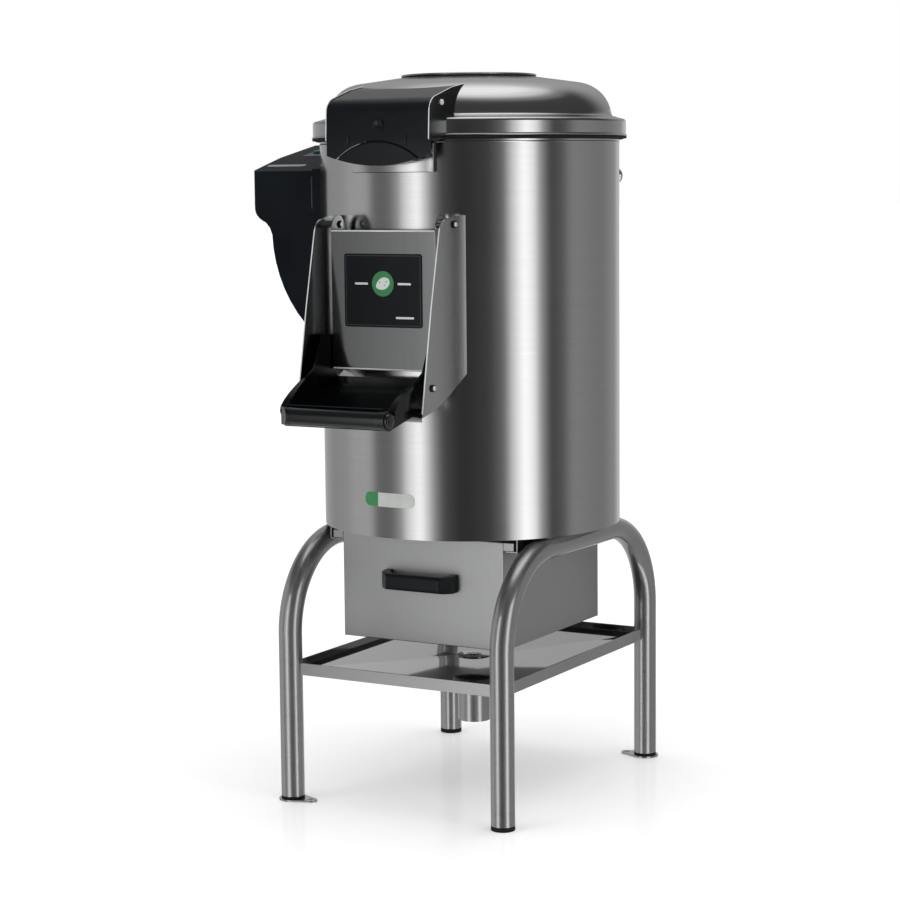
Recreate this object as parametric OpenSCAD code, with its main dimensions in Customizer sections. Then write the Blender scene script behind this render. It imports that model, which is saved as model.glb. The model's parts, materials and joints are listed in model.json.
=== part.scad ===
// Electric potato peeler on a tubular stand.
// Millimetres, +Z up, the operator stands at -Y. The origin lies on the drum's axis, at floor level.

/* [Drum] */
// Outside diameter of the drum
drum_d = 450; // [446:1:454]
// Height of the drum's lower edge above the floor
drum_bottom_z = 405; // [404:0.5:406]
// Height of the drum's upper edge above the floor
drum_top_z = 979; // [978:0.5:980]
// Thickness of the drum's sheet
drum_wall = 1.5; // [1:0.5:2]
// Height of the abrasive disc's upper face
disc_top_z = 642; // [638:1:646]
// Diameter of the abrasive disc
disc_d = 420; // [410:1:424]

/* [Stand] */
// Diameter of the stand's tube
tube_d = 35; // [34:0.5:36]
// Wall of the stand's tube
tube_wall = 1.5; // [1:0.5:2]
// Distance from the middle plane to each leg, left and right
leg_x = 179; // [178.5:0.5:181]
// Distance from the middle plane to each leg, front and back
leg_y = 240; // [236:1:244]
// Height of the centre line of the tube under the drum
bar_z = 386.5; // [385:0.5:386.5]
// Bend radius of the tube's centre line
bend_r = 135; // [120:1:140]
// Height of the drain pan's rim
pan_top_z = 209; // [206:1:212]

/* [Lid] */
// Radius of the lid's rim
lid_rim_r = 235; // [234:0.5:236]
// Radius of the lid's raised disc
lid_disc_r = 101.5; // [98:0.5:104]
// Sheet thickness of the lid
lid_wall = 1.5; // [1:0.5:2]

/* [Discharge] */
// Distance from the middle plane to the outer face of each chute cheek
cheek_x = 104; // [103:0.5:106]
// Half the width of the door
door_half_w = 87; // [86.5:0.5:87]
// Height of the door's lower edge
door_bottom_z = 652.5; // [652:0.5:656]
// Height of the door's upper edge
door_top_z = 852; // [851:0.5:853]
// Half the width of the tray, outside
tray_half_w = 91.5; // [91:0.5:93]
// Diameter of the tray's grip bar
grip_d = 25; // [24:0.5:25]

/* [Drawer] */
// Half the width of the drawer
drawer_half_w = 137; // [134:0.5:137]
// Half the depth of the drawer
drawer_half_d = 155.5; // [150:0.5:156]
// Height of the drawer's underside
drawer_bottom_z = 239; // [236:1:250]
// Thickness of the drawer's sheet
drawer_wall = 1.5; // [1:0.5:2]

/* [Housing] */
// Half the depth of the control housing
housing_half_d = 95; // [90:1:100]
// Distance from the drum's axis to the housing's outer face
housing_reach = 331; // [326:1:334]

/* [Hidden] */
$fn = 64;

steel = "gainsboro";
satin_steel = "silver";
black_plastic = "#1b1b1d";
black_rubber = "#101010";
abrasive_grey = "#5a5854";
sides = [-1, 1];
eps = 0.01;

drum_r = drum_d / 2;
drum_in_r = drum_r - drum_wall;
tube_r = tube_d / 2;

// Drum inside, from the base plate up
base_z = drum_bottom_z + 4;
base_t = 4;
floor_z = 606;
floor_t = 4;
lining_t = 7.5;
lining_r = drum_in_r - lining_t;
lining_top_z = 958;

// Belt drive
belt_z = 556;
belt_w = 20;
driven_r = 60;
motor_r = 22;
motor_y = 130;
motor_shaft_r = 9;
shaft_r = 12.5;
belt_t = 4;
belt_gap = 0.3;

// Waste duct from the chamber's floor to the drawer
duct_y = -110;
duct_r = 40;
duct_t = 1.5;

// Hinge axes, as [y, z]
lid_axis = [246, 990];
paddle_axis = [-258, 1000];
door_axis = [-233.2, 859.6];
tray_axis = [-297.6, 634.2];
cover_screw = [-232.4, 1030];
running = 0.07;

// Discharge opening in the drum and its collar
frame_half_w = 84;
frame_bottom_z = 659;
frame_top_z = 846;
frame_t = 2;
frame_front_y = -240;
door_face_y = -255;
door_t = 1.5;

// Lid heights and its dome
seal_t = 5;
lid_z = drum_top_z + seal_t;
lip_r = lid_rim_r + 2;
ledge_z = lid_z + 20;
dome_r = 54;
dome_c = [160, 1010];
dome_top_z = 1073;

// Latch cover
cover_front_y = -268;
cover_half_w = 83.2;
cover_t = 3;
arch_r = 106;
arch_top_z = 978;
arch_c = arch_top_z - arch_r;
hem_r = 245;
hem_c = 942.4 + hem_r;
arch_gap = 2.2;

// Points on an arc about c, from angle a0 to a1
function arc(c, r, a0, a1, n = 8) =
    [for (i = [0 : n]) c + r * [cos(a0 + (a1 - a0) * i / n), sin(a0 + (a1 - a0) * i / n)]];

// Points on an arc from p to q that bulges by s to the left of the way from p to q
function bulge(p, q, s, n = 8) =
    let (d = q - p, l = norm(d), r = (l * l / 4 + s * s) / (2 * s), u = d / l, v = [-u[1], u[0]])
    let (c = (p + q) / 2 + v * (s - r), a0 = atan2(p[1] - c[1], p[0] - c[0]))
    let (turn = -2 * asin(l / 2 / r))
    [for (i = [0 : n]) c + r * [cos(a0 + turn * i / n), sin(a0 + turn * i / n)]];

// A [y, z] outline made a plate from x = x0, t thick
module across(x0, t) translate([x0, 0, 0]) rotate([90, 0, 90]) linear_extrude(t) children();

// An [x, z] outline made a plate from y = y0, t deep
module along(y0, t) translate([0, y0 + t, 0]) rotate([90, 0, 0]) linear_extrude(t) children();

// A cylinder along X through the point p = [y, z]
module rod_x(p, r, x0, x1) translate([x0, p[0], p[1]]) rotate([0, 90, 0]) cylinder(r = r, h = x1 - x0);

// A flat ring or tube standing on z
module pipe(r_out, r_in, z, h) translate([0, 0, z]) difference() {
    cylinder(r = r_out, h = h);
    translate([0, 0, -1]) cylinder(r = r_in, h = h + 2);
}

// A box centred on the middle plane
module wide_box(half_w, y0, y1, z0, z1) translate([-half_w, y0, z0]) cube([2 * half_w, y1 - y0, z1 - z0]);

// A rectangle with round corners
module round_rect(w, h, r) {
    square([w - 2 * r, h], center = true);
    square([w, h - 2 * r], center = true);
    for (i = sides, j = sides) translate([i * (w / 2 - r), j * (h / 2 - r)]) circle(r);
}

/* ---- Stand ---- */

leg_foot_z = 7;

// One inverted U of bent tube, its legs at the front and the back
module leg_frame(side) color(satin_steel) translate([side * leg_x, 0, 0]) {
    in_r = tube_r - tube_wall;
    for (j = sides) translate([0, j * leg_y, 0]) pipe(tube_r, in_r, leg_foot_z, bar_z - bend_r - leg_foot_z);
    for (j = sides) translate([0, j * (leg_y - bend_r), bar_z - bend_r]) rotate([0, -90, 0]) rotate([0, 0, j < 0 ? -90 : 0])
        rotate_extrude(angle = 90) translate([bend_r, 0]) difference() {
            circle(tube_r);
            circle(in_r);
        }
    translate([0, bend_r - leg_y, bar_z]) rotate([-90, 0, 0]) pipe(tube_r, in_r, 0, 2 * (leg_y - bend_r));
}
module left_leg_frame() leg_frame(-1);
module right_leg_frame() leg_frame(1);

flange_t = 3;
flange_hole_r = 4.5;
flange_hole_in = 32;

// The two legs that are bolted to the floor, front left and back right
function bolted(i, j) = i * j > 0;

module foot_plugs() color(black_rubber) for (i = sides, j = sides) translate([i * leg_x, j * leg_y, 0]) {
    low = bolted(i, j) ? flange_t : 0;
    translate([0, 0, low]) cylinder(r = tube_r, h = leg_foot_z - low);
    translate([0, 0, leg_foot_z - eps]) cylinder(r = tube_r - tube_wall, h = 18);
}

module floor_flanges() color(satin_steel) for (i = sides) translate([i * leg_x, i * leg_y, 0]) difference() {
    hull() {
        cylinder(r = 21, h = flange_t);
        translate([-i * flange_hole_in, 0, 0]) cylinder(r = 9, h = flange_t);
    }
    translate([-i * flange_hole_in, 0, -1]) cylinder(r = flange_hole_r, h = flange_t + 2);
}

pan_rim_h = 18;
pan_t = 1.5;
pan_floor_z = pan_top_z - 10;
pan_fall = 7;
drain_r = 25;
drain_bottom_z = 92;

// A four-sided dish whose faces fall to the drain
module pan_fall_solid(z) hull() {
    translate([-leg_x, -leg_y, z]) cube([2 * leg_x, 2 * leg_y, 30]);
    translate([0, 0, z - pan_fall]) cylinder(r = drain_r - 1, h = 1, $fn = 32);
}

module drain_pan() color(steel) difference() {
    translate([-leg_x, -leg_y, pan_top_z - pan_rim_h]) cube([2 * leg_x, 2 * leg_y, pan_rim_h]);
    intersection() {
        pan_fall_solid(pan_floor_z);
        translate([-leg_x + pan_t, -leg_y + pan_t, 0]) cube([2 * (leg_x - pan_t), 2 * (leg_y - pan_t), 300]);
    }
    difference() {
        translate([-leg_x + pan_t, -leg_y + pan_t, pan_top_z - pan_rim_h - 1])
            cube([2 * (leg_x - pan_t), 2 * (leg_y - pan_t), pan_rim_h]);
        pan_fall_solid(pan_floor_z - pan_t);
    }
    for (i = sides, j = sides) translate([i * leg_x, j * leg_y, 0]) cylinder(r = tube_r, h = 300);
    cylinder(r = drain_r - 1.5, h = 300);
}

module drain_pipe() color(satin_steel) {
    top_z = pan_floor_z - pan_fall - pan_t;
    pipe(drain_r, drain_r - 1.5, drain_bottom_z, top_z - drain_bottom_z);
    pipe(drain_r + 7, drain_r - 1.5, top_z - 2, 2);
}

/* ---- Drum and drive ---- */

runner_in_x = drawer_half_w + 2.5;
runner_out_x = 160;
runner_z = 385;

module drawer_runners() color(satin_steel) for (i = [0, 1]) mirror([i, 0, 0]) along(-155, 310) polygon([
    [runner_in_x, runner_z], [runner_out_x, runner_z], [runner_out_x, base_z], [runner_in_x, base_z],
    [runner_in_x, base_z - 2], [runner_out_x - 2, base_z - 2], [runner_out_x - 2, runner_z + 2],
    [runner_in_x, runner_z + 2]
]);

stud_y = 85;
stud_r = 4;

// Studs that stand on the tubes and carry the base plate, each with its nut
module base_studs() color(black_rubber) for (i = sides, j = sides) translate([i * leg_x, j * stud_y, 0]) difference() {
    union() {
        translate([0, 0, bar_z]) cylinder(r = 9, h = base_z - bar_z);
        translate([0, 0, bar_z]) cylinder(r = stud_r, h = base_z + base_t + 9 - bar_z);
        translate([0, 0, base_z + base_t]) cylinder(r = 6.5, h = 6.5, $fn = 6);
    }
    translate([0, -20, bar_z]) rotate([-90, 0, 0]) cylinder(r = tube_r, h = 40);
}

module drum_base() color(satin_steel) difference() {
    translate([0, 0, base_z]) cylinder(r = drum_in_r, h = base_t);
    for (i = sides, j = sides) translate([i * leg_x, j * stud_y, 0]) cylinder(r = stud_r, h = 700);
    translate([0, duct_y, 0]) cylinder(r = duct_r - duct_t, h = 700);
    for (x = [-90 : 18 : 90]) translate([x - 4, 60, base_z - 1]) cube([8, 60, base_t + 2]);
}

// The discharge opening, cut through the drum's front
module discharge_cut(inset) wide_box(frame_half_w - frame_t - inset, -drum_r - 5, -120,
    frame_bottom_z + frame_t + inset, frame_top_z - frame_t - inset);

inlet_x = 130;
inlet_z = 925;
inlet_r = 13.2;

module drum_shell() color(steel) difference() {
    pipe(drum_r, drum_in_r, drum_bottom_z, drum_top_z - drum_bottom_z);
    discharge_cut(0);
    translate([inlet_x, 0, inlet_z]) rotate([-90, 0, 0]) cylinder(r = inlet_r, h = 300);
}

module abrasive_lining() color(abrasive_grey) difference() {
    pipe(drum_in_r, lining_r, floor_z + floor_t, lining_top_z - floor_z - floor_t);
    discharge_cut(0);
    translate([inlet_x, 0, inlet_z]) rotate([-90, 0, 0]) cylinder(r = inlet_r + 10, h = 300);
}

module chamber_floor() color(satin_steel) difference() {
    translate([0, 0, floor_z]) cylinder(r = drum_in_r, h = floor_t);
    translate([0, duct_y, 0]) cylinder(r = duct_r - duct_t, h = 700);
    cylinder(r = 30, h = 700);
}

module waste_duct() color(satin_steel) translate([0, duct_y, 0])
    pipe(duct_r, duct_r - duct_t, base_z + base_t, floor_z - base_z - base_t);

bearing_r = 26;
bearing_h = 15;
housing_z = 578;

module bearing_housing() color("dimgray") difference() {
    union() {
        translate([0, 0, housing_z]) cylinder(r = 30, h = floor_z + floor_t + 5 - housing_z);
        translate([0, 0, floor_z - 8]) cylinder(r = 55, h = 8);
        for (a = [45 : 90 : 315]) rotate([0, 0, a]) translate([40, 0, floor_z - 14]) cylinder(r = 6, h = 6, $fn = 6);
    }
    translate([0, 0, housing_z - 1]) cylinder(r = bearing_r, h = bearing_h + 1);
    translate([0, 0, floor_z + floor_t + 5 - bearing_h]) cylinder(r = bearing_r, h = bearing_h + 1);
    cylinder(r = 20, h = 700);
}

module shaft_bearings() color("lightgray") {
    for (z = [housing_z, floor_z + floor_t + 5 - bearing_h]) pipe(bearing_r, shaft_r + running, z, bearing_h);
}

module main_shaft() color("lightgray") {
    translate([0, 0, belt_z - belt_w / 2 - 6]) cylinder(r = shaft_r, h = disc_top_z + 8 - belt_z + belt_w / 2 + 6);
}

pulley_cheek = 3;

// A flat-belt pulley with two rims, bored for its shaft
module pulley(r, bore, h) difference() {
    union() {
        cylinder(r = r, h = h);
        for (z = [-pulley_cheek, h]) translate([0, 0, z]) cylinder(r = r + 3, h = pulley_cheek);
    }
    translate([0, 0, -pulley_cheek - 1]) cylinder(r = bore, h = h + 2 * pulley_cheek + 2);
}

module driven_pulley() color("dimgray") translate([0, 0, belt_z - belt_w / 2]) difference() {
    pulley(driven_r, shaft_r, belt_w);
    for (a = [30 : 60 : 330]) rotate([0, 0, a]) translate([37, 0, -10]) cylinder(r = 11, h = 50);
}

module motor_pulley() color("dimgray") translate([0, motor_y, belt_z - belt_w / 2]) {
    pulley(motor_r, motor_shaft_r - 1, belt_w);
    translate([0, 0, -40]) cylinder(r = motor_shaft_r, h = belt_w + 46);
}

// The belt's loop round both pulleys, at a distance from their faces
module belt_loop(gap) hull() {
    circle(driven_r + gap);
    translate([0, motor_y]) circle(motor_r + gap);
}

module drive_belt() color(black_rubber) translate([0, 0, belt_z - belt_w / 2 + 2]) linear_extrude(belt_w - 4)
    difference() {
        belt_loop(belt_gap + belt_t);
        belt_loop(belt_gap);
    }

motor_top_z = belt_z - belt_w / 2 - 18;
bracket_half_w = 82;

module motor_bracket() color(satin_steel) difference() {
    wide_box(bracket_half_w, 62, 196, base_z + base_t, motor_top_z);
    wide_box(bracket_half_w - 3, 61, 197, base_z + base_t - 1, motor_top_z - 5);
    translate([0, motor_y, 0]) cylinder(r = 32, h = 700);
}

module motor() color("slategray") translate([0, motor_y, 0]) {
    low = base_z + base_t + 4;
    top = motor_top_z - 5;
    difference() {
        union() {
            translate([0, 0, low]) cylinder(r = 56, h = top - low);
            for (a = [0 : 20 : 340]) rotate([0, 0, a]) translate([54, -1.5, low + 14]) cube([8, 3, top - low - 28]);
            translate([0, 0, top - eps]) cylinder(r = 32, h = 4);
        }
        translate([0, 0, top - 20]) cylinder(r = motor_shaft_r + running, h = 40);
    }
}

vane_h = 14;

// The disc has raised waves on top and sweeping vanes below
module abrasive_disc() color(abrasive_grey) difference() {
    union() {
        translate([0, 0, disc_top_z - 14]) cylinder(r = disc_d / 2, h = 10);
        for (a = [0 : 60 : 300]) rotate([0, 0, a]) translate([60, -9, disc_top_z - 5]) intersection() {
            cube([disc_d / 2 - 66, 18, 5]);
            translate([-10, 9, -11]) rotate([0, 90, 0]) cylinder(r = 16, h = disc_d);
        }
        translate([0, 0, disc_top_z - 5]) cylinder(r = 34, h = 9);
        for (a = [0 : 120 : 240]) rotate([0, 0, a]) translate([62, -3, disc_top_z - 14 - vane_h]) cube([135, 6, vane_h + 1]);
    }
    cylinder(r = shaft_r, h = 1000);
}

/* ---- Discharge chute, door and tray ---- */

module door_frame() color(satin_steel) difference() {
    wide_box(frame_half_w, frame_front_y, -180, frame_bottom_z, frame_top_z);
    wide_box(frame_half_w - frame_t, frame_front_y - 1, -179, frame_bottom_z + frame_t, frame_top_z - frame_t);
    cylinder(r = drum_r, h = 1000);
}

cheek_t = 2;

// The cheek's outline as [y, z], with a rounded ear over the door's pivot
function cheek_outline() = concat(
    [[-326, 595], [-317.5, 642], [-298, 743.4], [-273.6, 850]],
    arc([-254, 848], 19, 170, 100, 6),
    [[-246, 869], [-236, 872], [-190, 872], [-190, 652], [-246, 622], [-288.6, 603.3]]
);

module chute_cheek(side) color(satin_steel) difference() {
    across(side > 0 ? cheek_x - cheek_t : -cheek_x, cheek_t) polygon(cheek_outline());
    cylinder(r = drum_r, h = 1000);
    rod_x(door_axis, 3, -200, 200);
    rod_x(tray_axis, 3, -200, 200);
}
module left_chute_cheek() chute_cheek(-1);
module right_chute_cheek() chute_cheek(1);

module chute_tie() color(satin_steel) across(cheek_t - cheek_x, 2 * (cheek_x - cheek_t))
    polygon([[-325, 589], [-323.5, 589], [-323.5, 595.2], [-298, 601.8], [-298, 603.3], [-325, 596.3]]);

// A shoulder screw from a cheek inwards to x = tip, whose shoulder stops at x = rest
module shoulder_screw(p, tip, rest) for (i = [0, 1]) mirror([i, 0, 0]) {
    rod_x(p, 3, tip, cheek_x + 1);
    rod_x(p, 5, rest, cheek_x - cheek_t);
    rod_x(p, 4, cheek_x, cheek_x + 3);
}
module door_pivot_screws() color("lightgray") shoulder_screw(door_axis, 82, door_half_w + 0.4);
module tray_pivot_screws() color("lightgray") shoulder_screw(tray_axis, 87.8, tray_half_w + 0.4);

ear_r = 17.5;
ear_c = [-236.5, 855.5];

module door_panel() color(steel) {
    wide_box(door_half_w, door_face_y, door_face_y + door_t, door_bottom_z, door_top_z);
    wide_box(door_half_w, door_face_y, door_face_y + 9, door_bottom_z, door_bottom_z + door_t);
    wide_box(door_half_w, door_face_y, door_face_y + 9, door_top_z - door_t, door_top_z);
    for (i = sides) difference() {
        across(i > 0 ? door_half_w - door_t : -door_half_w, door_t) {
            translate([door_face_y, door_bottom_z]) square([23, door_top_z - door_bottom_z]);
            translate(ear_c) circle(ear_r);
        }
        rod_x(door_axis, 3 + running, -200, 200);
    }
}

seal_w = 14;

module door_seal() color(black_rubber) difference() {
    wide_box(83, door_face_y + door_t, frame_front_y - 0.4, frame_bottom_z - 1, frame_top_z + 1);
    wide_box(83 - seal_w, -300, 0, frame_bottom_z - 1 + seal_w, frame_top_z + 1 - seal_w);
}

label_z = 766;

module door_label_plate() color("#202124") translate([0, door_face_y, label_z]) rotate([90, 0, 0])
    linear_extrude(0.8) round_rect(124, 104, 4);

tray_t = 2.7;
grip_c = [-392, 597];
grip_r = grip_d / 2;

tray_rim = 2;
tray_front_y = -384;
hollow_front_w = 79;
grip_x0 = -70;
grip_x1 = 77;
collar_x1 = 88;
collar_r = grip_r + 0.8;

// The free edge of the scoop's side wall as [y, z], from the front up
tray_edge = [
    [tray_front_y, 603], [-382, 609.4], [-374, 617], [-363, 624.6], [-350, 632], [-337, 638.7], [-317, 646.5],
    [-301, 656]
];

// The scoop's side wall, as [y, z]
function tray_wall() = concat(
    tray_edge, [[-292, 674], [-276, 703], [-241, 702], [-241, 636], [-274, 621.5], [-306, 602], [tray_front_y, 582]]
);

// The scoop's hollow, over its floor
function tray_hollow() = [
    [tray_front_y + tray_t, 586], [-320, 605], [-274, 626], [-230, 646], [-230, 720], [tray_front_y + tray_t, 720]
];

// The hollow seen from above narrows towards the grip
module hollow_plan() linear_extrude(800) polygon([for (p = [
    [-1, -220], [-1, -318], [-hollow_front_w / (tray_half_w - tray_t), tray_front_y - 10],
    [hollow_front_w / (tray_half_w - tray_t), tray_front_y - 10], [1, -318], [1, -220]
]) [p[0] * (tray_half_w - tray_t), p[1]]]);

module tray_scoop() color(black_plastic) difference() {
    union() {
        intersection() {
            across(-tray_half_w, 2 * tray_half_w) polygon(tray_wall());
            along(-450, 260) polygon([
                [-85.5, 582], [-tray_half_w, 609], [-tray_half_w, 750], [tray_half_w, 750], [tray_half_w, 609],
                [85.5, 582]
            ]);
        }
        for (i = sides) across(i > 0 ? tray_half_w - tray_t : -tray_half_w - tray_rim, tray_t + tray_rim)
            polygon(concat(tray_edge, [for (j = [len(tray_edge) - 1 : -1 : 0]) tray_edge[j] + [2, -5]]));
        across(-hollow_front_w, 2 * hollow_front_w)
            polygon([[tray_front_y, 600], [-389, 612], [-387.5, 613], [-381.3, 607.5], [-381.3, 600]]);
        intersection() {
            linear_extrude(800) polygon([[-tray_half_w, -375], [-tray_half_w, tray_front_y], [-86, -389],
                [grip_x0, -404.5], [grip_x0, -375]]);
            across(-tray_half_w, 30) {
                translate(grip_c) circle(grip_r);
                translate([grip_c[0], grip_c[1] - grip_r]) square([14, 2 * grip_r]);
            }
        }
    }
    intersection() {
        across(-tray_half_w + tray_t, 2 * (tray_half_w - tray_t)) polygon(tray_hollow());
        hollow_plan();
    }
    rod_x(grip_c, grip_r, grip_x0, 200);
    rod_x(grip_c, collar_r + 0.1, grip_x0, grip_x0 + 3.1);
    rod_x(grip_c, collar_r + 0.1, grip_x1 - 0.1, 200);
    rod_x(tray_axis, 3 + running, -200, 200);
}

module tray_grip_bar() color(black_plastic) rod_x(grip_c, grip_r, grip_x0, grip_x1);

// A collar and a domed cap at the bar's right end, and a thin collar at its left end
module grip_end_caps() color(black_plastic) {
    difference() {
        rod_x(grip_c, grip_r + 0.4, grip_x0, grip_x0 + 3);
        rod_x(grip_c, grip_r, grip_x0 - 1, grip_x0 + 4);
    }
    rod_x(grip_c, collar_r, grip_x1, collar_x1);
    translate([collar_x1, grip_c[0], grip_c[1]]) rotate([0, 90, 0]) rotate_extrude()
        polygon(concat([[0, -1], [10.8, -1], [10.8, 2]], arc([6.8, 2], 4, 0, 60, 5), [[5, 6.7], [0, 7.6]]));
}

/* ---- Drawer ---- */

lip_z = 387.5;
drawer_front_top_z = 399;
spout_r = 34;

module drawer_body() color(steel) {
    difference() {
        wide_box(drawer_half_w, -drawer_half_d, drawer_half_d, drawer_bottom_z, lip_z + 2);
        wide_box(drawer_half_w - drawer_wall, -drawer_half_d + drawer_wall, drawer_half_d - drawer_wall,
            drawer_bottom_z + drawer_wall, 500);
        cylinder(r = spout_r, h = 400);
    }
    wide_box(drawer_half_w, -drawer_half_d, -drawer_half_d + drawer_wall, drawer_bottom_z, drawer_front_top_z);
    for (i = [0, 1]) mirror([i, 0, 0]) translate([drawer_half_w - drawer_wall - 8, 0, 0])
        along(-drawer_half_d, 2 * drawer_half_d) translate([0, 258.5]) square([8, 1.5]);
    translate([0, 0, drawer_bottom_z - 14]) rotate_extrude() polygon([
        [spout_r - 6, 0], [spout_r - 4.5, 0], [spout_r + 1.5, 14], [spout_r, 14 + drawer_wall]
    ]);
}

// The two rails that slide on the runners, with their front tabs
module drawer_rails() color(steel) for (i = [0, 1]) mirror([i, 0, 0]) translate([drawer_half_w, -drawer_half_d, lip_z]) {
    cube([17, 2 * drawer_half_d, 2]);
    cube([17, drawer_wall, drawer_front_top_z - lip_z]);
}

filter_pitch = 20;

module drawer_filter() color(satin_steel) translate([0, 0, 260]) linear_extrude(1.5) difference() {
    square([2 * drawer_half_w - 5, 2 * drawer_half_d - 5], center = true);
    for (i = [-6 : 6], j = [-7 : 7]) translate([i * filter_pitch, j * filter_pitch]) circle(4.5);
}

handle_z = 332;

module drawer_handle() color(black_plastic) translate([0, -drawer_half_d, handle_z]) intersection() {
    translate([0, 0, -20]) linear_extrude(40) polygon([
        [-61, 0], [-61, -14.5], [-45, -30], [45, -30], [61, -14.5], [61, 0],
        [49, 0], [49, -10], [40, -20], [-40, -20], [-49, -10], [-49, 0]
    ]);
    across(-80, 160) polygon([[1, -12.5], [-26, -12], [-30, -8.5], [-30, 8.5], [-26.5, 12.2], [1, 15.2]]);
}

/* ---- Lid ---- */

// The lid's outer profile as [r, z], from the rim up to its middle
function lid_profile(inset) = concat(
    [[lip_r - inset, lid_z + inset], [lip_r - inset, lid_z + 2], [lid_rim_r - inset, lid_z + 2 + inset]],
    [[lid_rim_r - inset, ledge_z - inset / 2], [231 - inset / 2, 1010 - inset], [220, 1013 - inset],
     [214.5 - inset / 2, 1014 - inset / 2]],
    arc(dome_c, dome_r - inset, 4, 82),
    [[101, dome_top_z - inset], [0, dome_top_z - inset]]
);

// All that lies within the lid's outer face
module lid_solid() rotate_extrude() polygon(concat(lid_profile(0), [[0, lid_z]]));

module lid_shell() color(steel) difference() {
    lid_solid();
    rotate_extrude() polygon(concat(
        [[lip_r - 20, lid_z - 1], [lip_r - 20, lid_z + lid_wall]],
        [for (i = [2 : len(lid_profile(lid_wall)) - 1]) lid_profile(lid_wall)[i]],
        [[0, lid_z - 1]]
    ));
}

module lid_disc() color(satin_steel) rotate_extrude() polygon(concat(
    [[0, dome_top_z], [lid_disc_r - 5, dome_top_z], [lid_disc_r - 5, dome_top_z + 1.2]],
    arc([lid_disc_r - 1.6, dome_top_z + 2.8], 1.6, -90, 90, 8),
    [[0, dome_top_z + 4.4]]
));

module lid_gasket() color(black_rubber) pipe(drum_r + 6, drum_r - 7, drum_top_z + 0.2, seal_t - 0.2);

// Outline of the latch's cover and cheeks as [y, z], drawn in by inset
function latch_top(inset) = concat(
    [[-140, 1061.6 - inset], [-161, 1058.2 - inset], [-202.5, 1051.4 - inset]],
    arc([-243, 1016], 23 - inset, 107, 176, 8)
);

module lid_cheek(side) color(satin_steel) difference() {
    across(side > 0 ? 83.5 : -85.5, 2) polygon(concat(
        latch_top(0), [[-268, 977], [-246, 976.5], [-217, 982.5], [-190, 1000], [-140, 1040]]
    ));
    lid_solid();
    rod_x(cover_screw, 2.5, -200, 200);
}
module left_lid_cheek() lid_cheek(-1);
module right_lid_cheek() lid_cheek(1);

// The cover's front, as [x, z]: a curved lower hem and an arch over the paddle
module cover_front() difference() {
    translate([0, 1000]) round_rect(2 * cover_half_w, 140, 10);
    difference() {
        translate([-100, 900]) square([200, 60]);
        translate([0, hem_c]) circle(hem_r, $fn = 128);
    }
    translate([0, arch_c]) circle(arch_r);
}

module latch_cover() color(black_plastic) {
    difference() {
        intersection() {
            across(-cover_half_w, 2 * cover_half_w) polygon(concat(
                latch_top(1), [[cover_front_y, 976], [cover_front_y, 930], [-258, 930], [-258, 977],
                [-217, 986], [-190, 1000], [-140, 1040]]
            ));
            along(-300, 200) cover_front();
        }
        across(-cover_half_w + cover_t, 2 * (cover_half_w - cover_t)) polygon(concat(
            latch_top(1 + cover_t), [[cover_front_y + cover_t, 976], [cover_front_y + cover_t, 900], [-100, 900],
            [-100, 1062]]
        ));
        lid_solid();
        rod_x(cover_screw, 2.5, -200, 200);
    }
    for (i = sides) difference() {
        across(i > 0 ? 26 : -30, 4) polygon([[-266, 992], [-266, 1010], [-252, 1010], [-250, 1000], [-252, 992]]);
        rod_x(paddle_axis, 2.5, -200, 200);
    }
}

module paddle_pin() color("lightgray") rod_x(paddle_axis, 2.5, -32, 32);

module latch_paddle() color(black_plastic) {
    intersection() {
        along(cover_front_y, cover_t) translate([0, arch_c]) circle(arch_r - arch_gap);
        along(-300, 100) translate([0, hem_c]) circle(hem_r, $fn = 128);
    }
    intersection() {
        along(cover_front_y + cover_t - eps, 9) difference() {
            translate([0, hem_c]) circle(hem_r, $fn = 128);
            translate([0, hem_c]) circle(hem_r - 2.5, $fn = 128);
        }
        wide_box(56, -300, -200, 900, 1000);
    }
    for (i = sides) difference() {
        across(i > 0 ? 17 : -24.5, 7.5) {
            polygon([[-265.5, 950], [-265.5, 958], [-256.5, 972], [-259, 1000], [-252, 1000], [-249, 972], [-256, 950]]);
            translate(paddle_axis) circle(5);
        }
        rod_x(paddle_axis, 2.5 + running, -200, 200);
    }
}

module paddle_magnet() color("dimgray") wide_box(16.5, cover_front_y + cover_t, -239, 950, 966);

module striker_plate() color(satin_steel) difference() {
    wide_box(66, -236, -200, 933.5, 974);
    wide_box(64, -234, -199, 935.5, 973);
    cylinder(r = drum_r, h = 1100);
}

module hinge_brackets() color(satin_steel) difference() {
    for (i = sides) across(i > 0 ? 36 : -44, 8) {
        polygon([[190, 925], [229, 925], [254, 975], [254, 990], [238, 990], [233, 972], [190, 972]]);
        translate(lid_axis) circle(8);
    }
    cylinder(r = drum_r, h = 972);
    translate([0, 0, 971]) cylinder(r = drum_r + 2.5, h = 50);
    rod_x(lid_axis, 4, -200, 200);
}

module hinge_pin() color("lightgray") rod_x(lid_axis, 4, -47, 47);

module lid_hinge_leaf() color(satin_steel) difference() {
    union() {
        across(-34, 68) polygon([[210, 990], [210, 1003], [240, 1003], [247, 996], [247, 990]]);
        rod_x(lid_axis, 8, -34, 34);
    }
    translate([0, 0, 980]) cylinder(r = lid_rim_r, h = 100);
    rod_x(lid_axis, 4 + running, -200, 200);
}

/* ---- Control housing ---- */

housing_in_r = drum_r + 15;
panel_a = [-17, 958];
panel_b = [85, 978];
panel_slope = atan2(panel_b[1] - panel_a[1], panel_b[0] - panel_a[0]);

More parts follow.
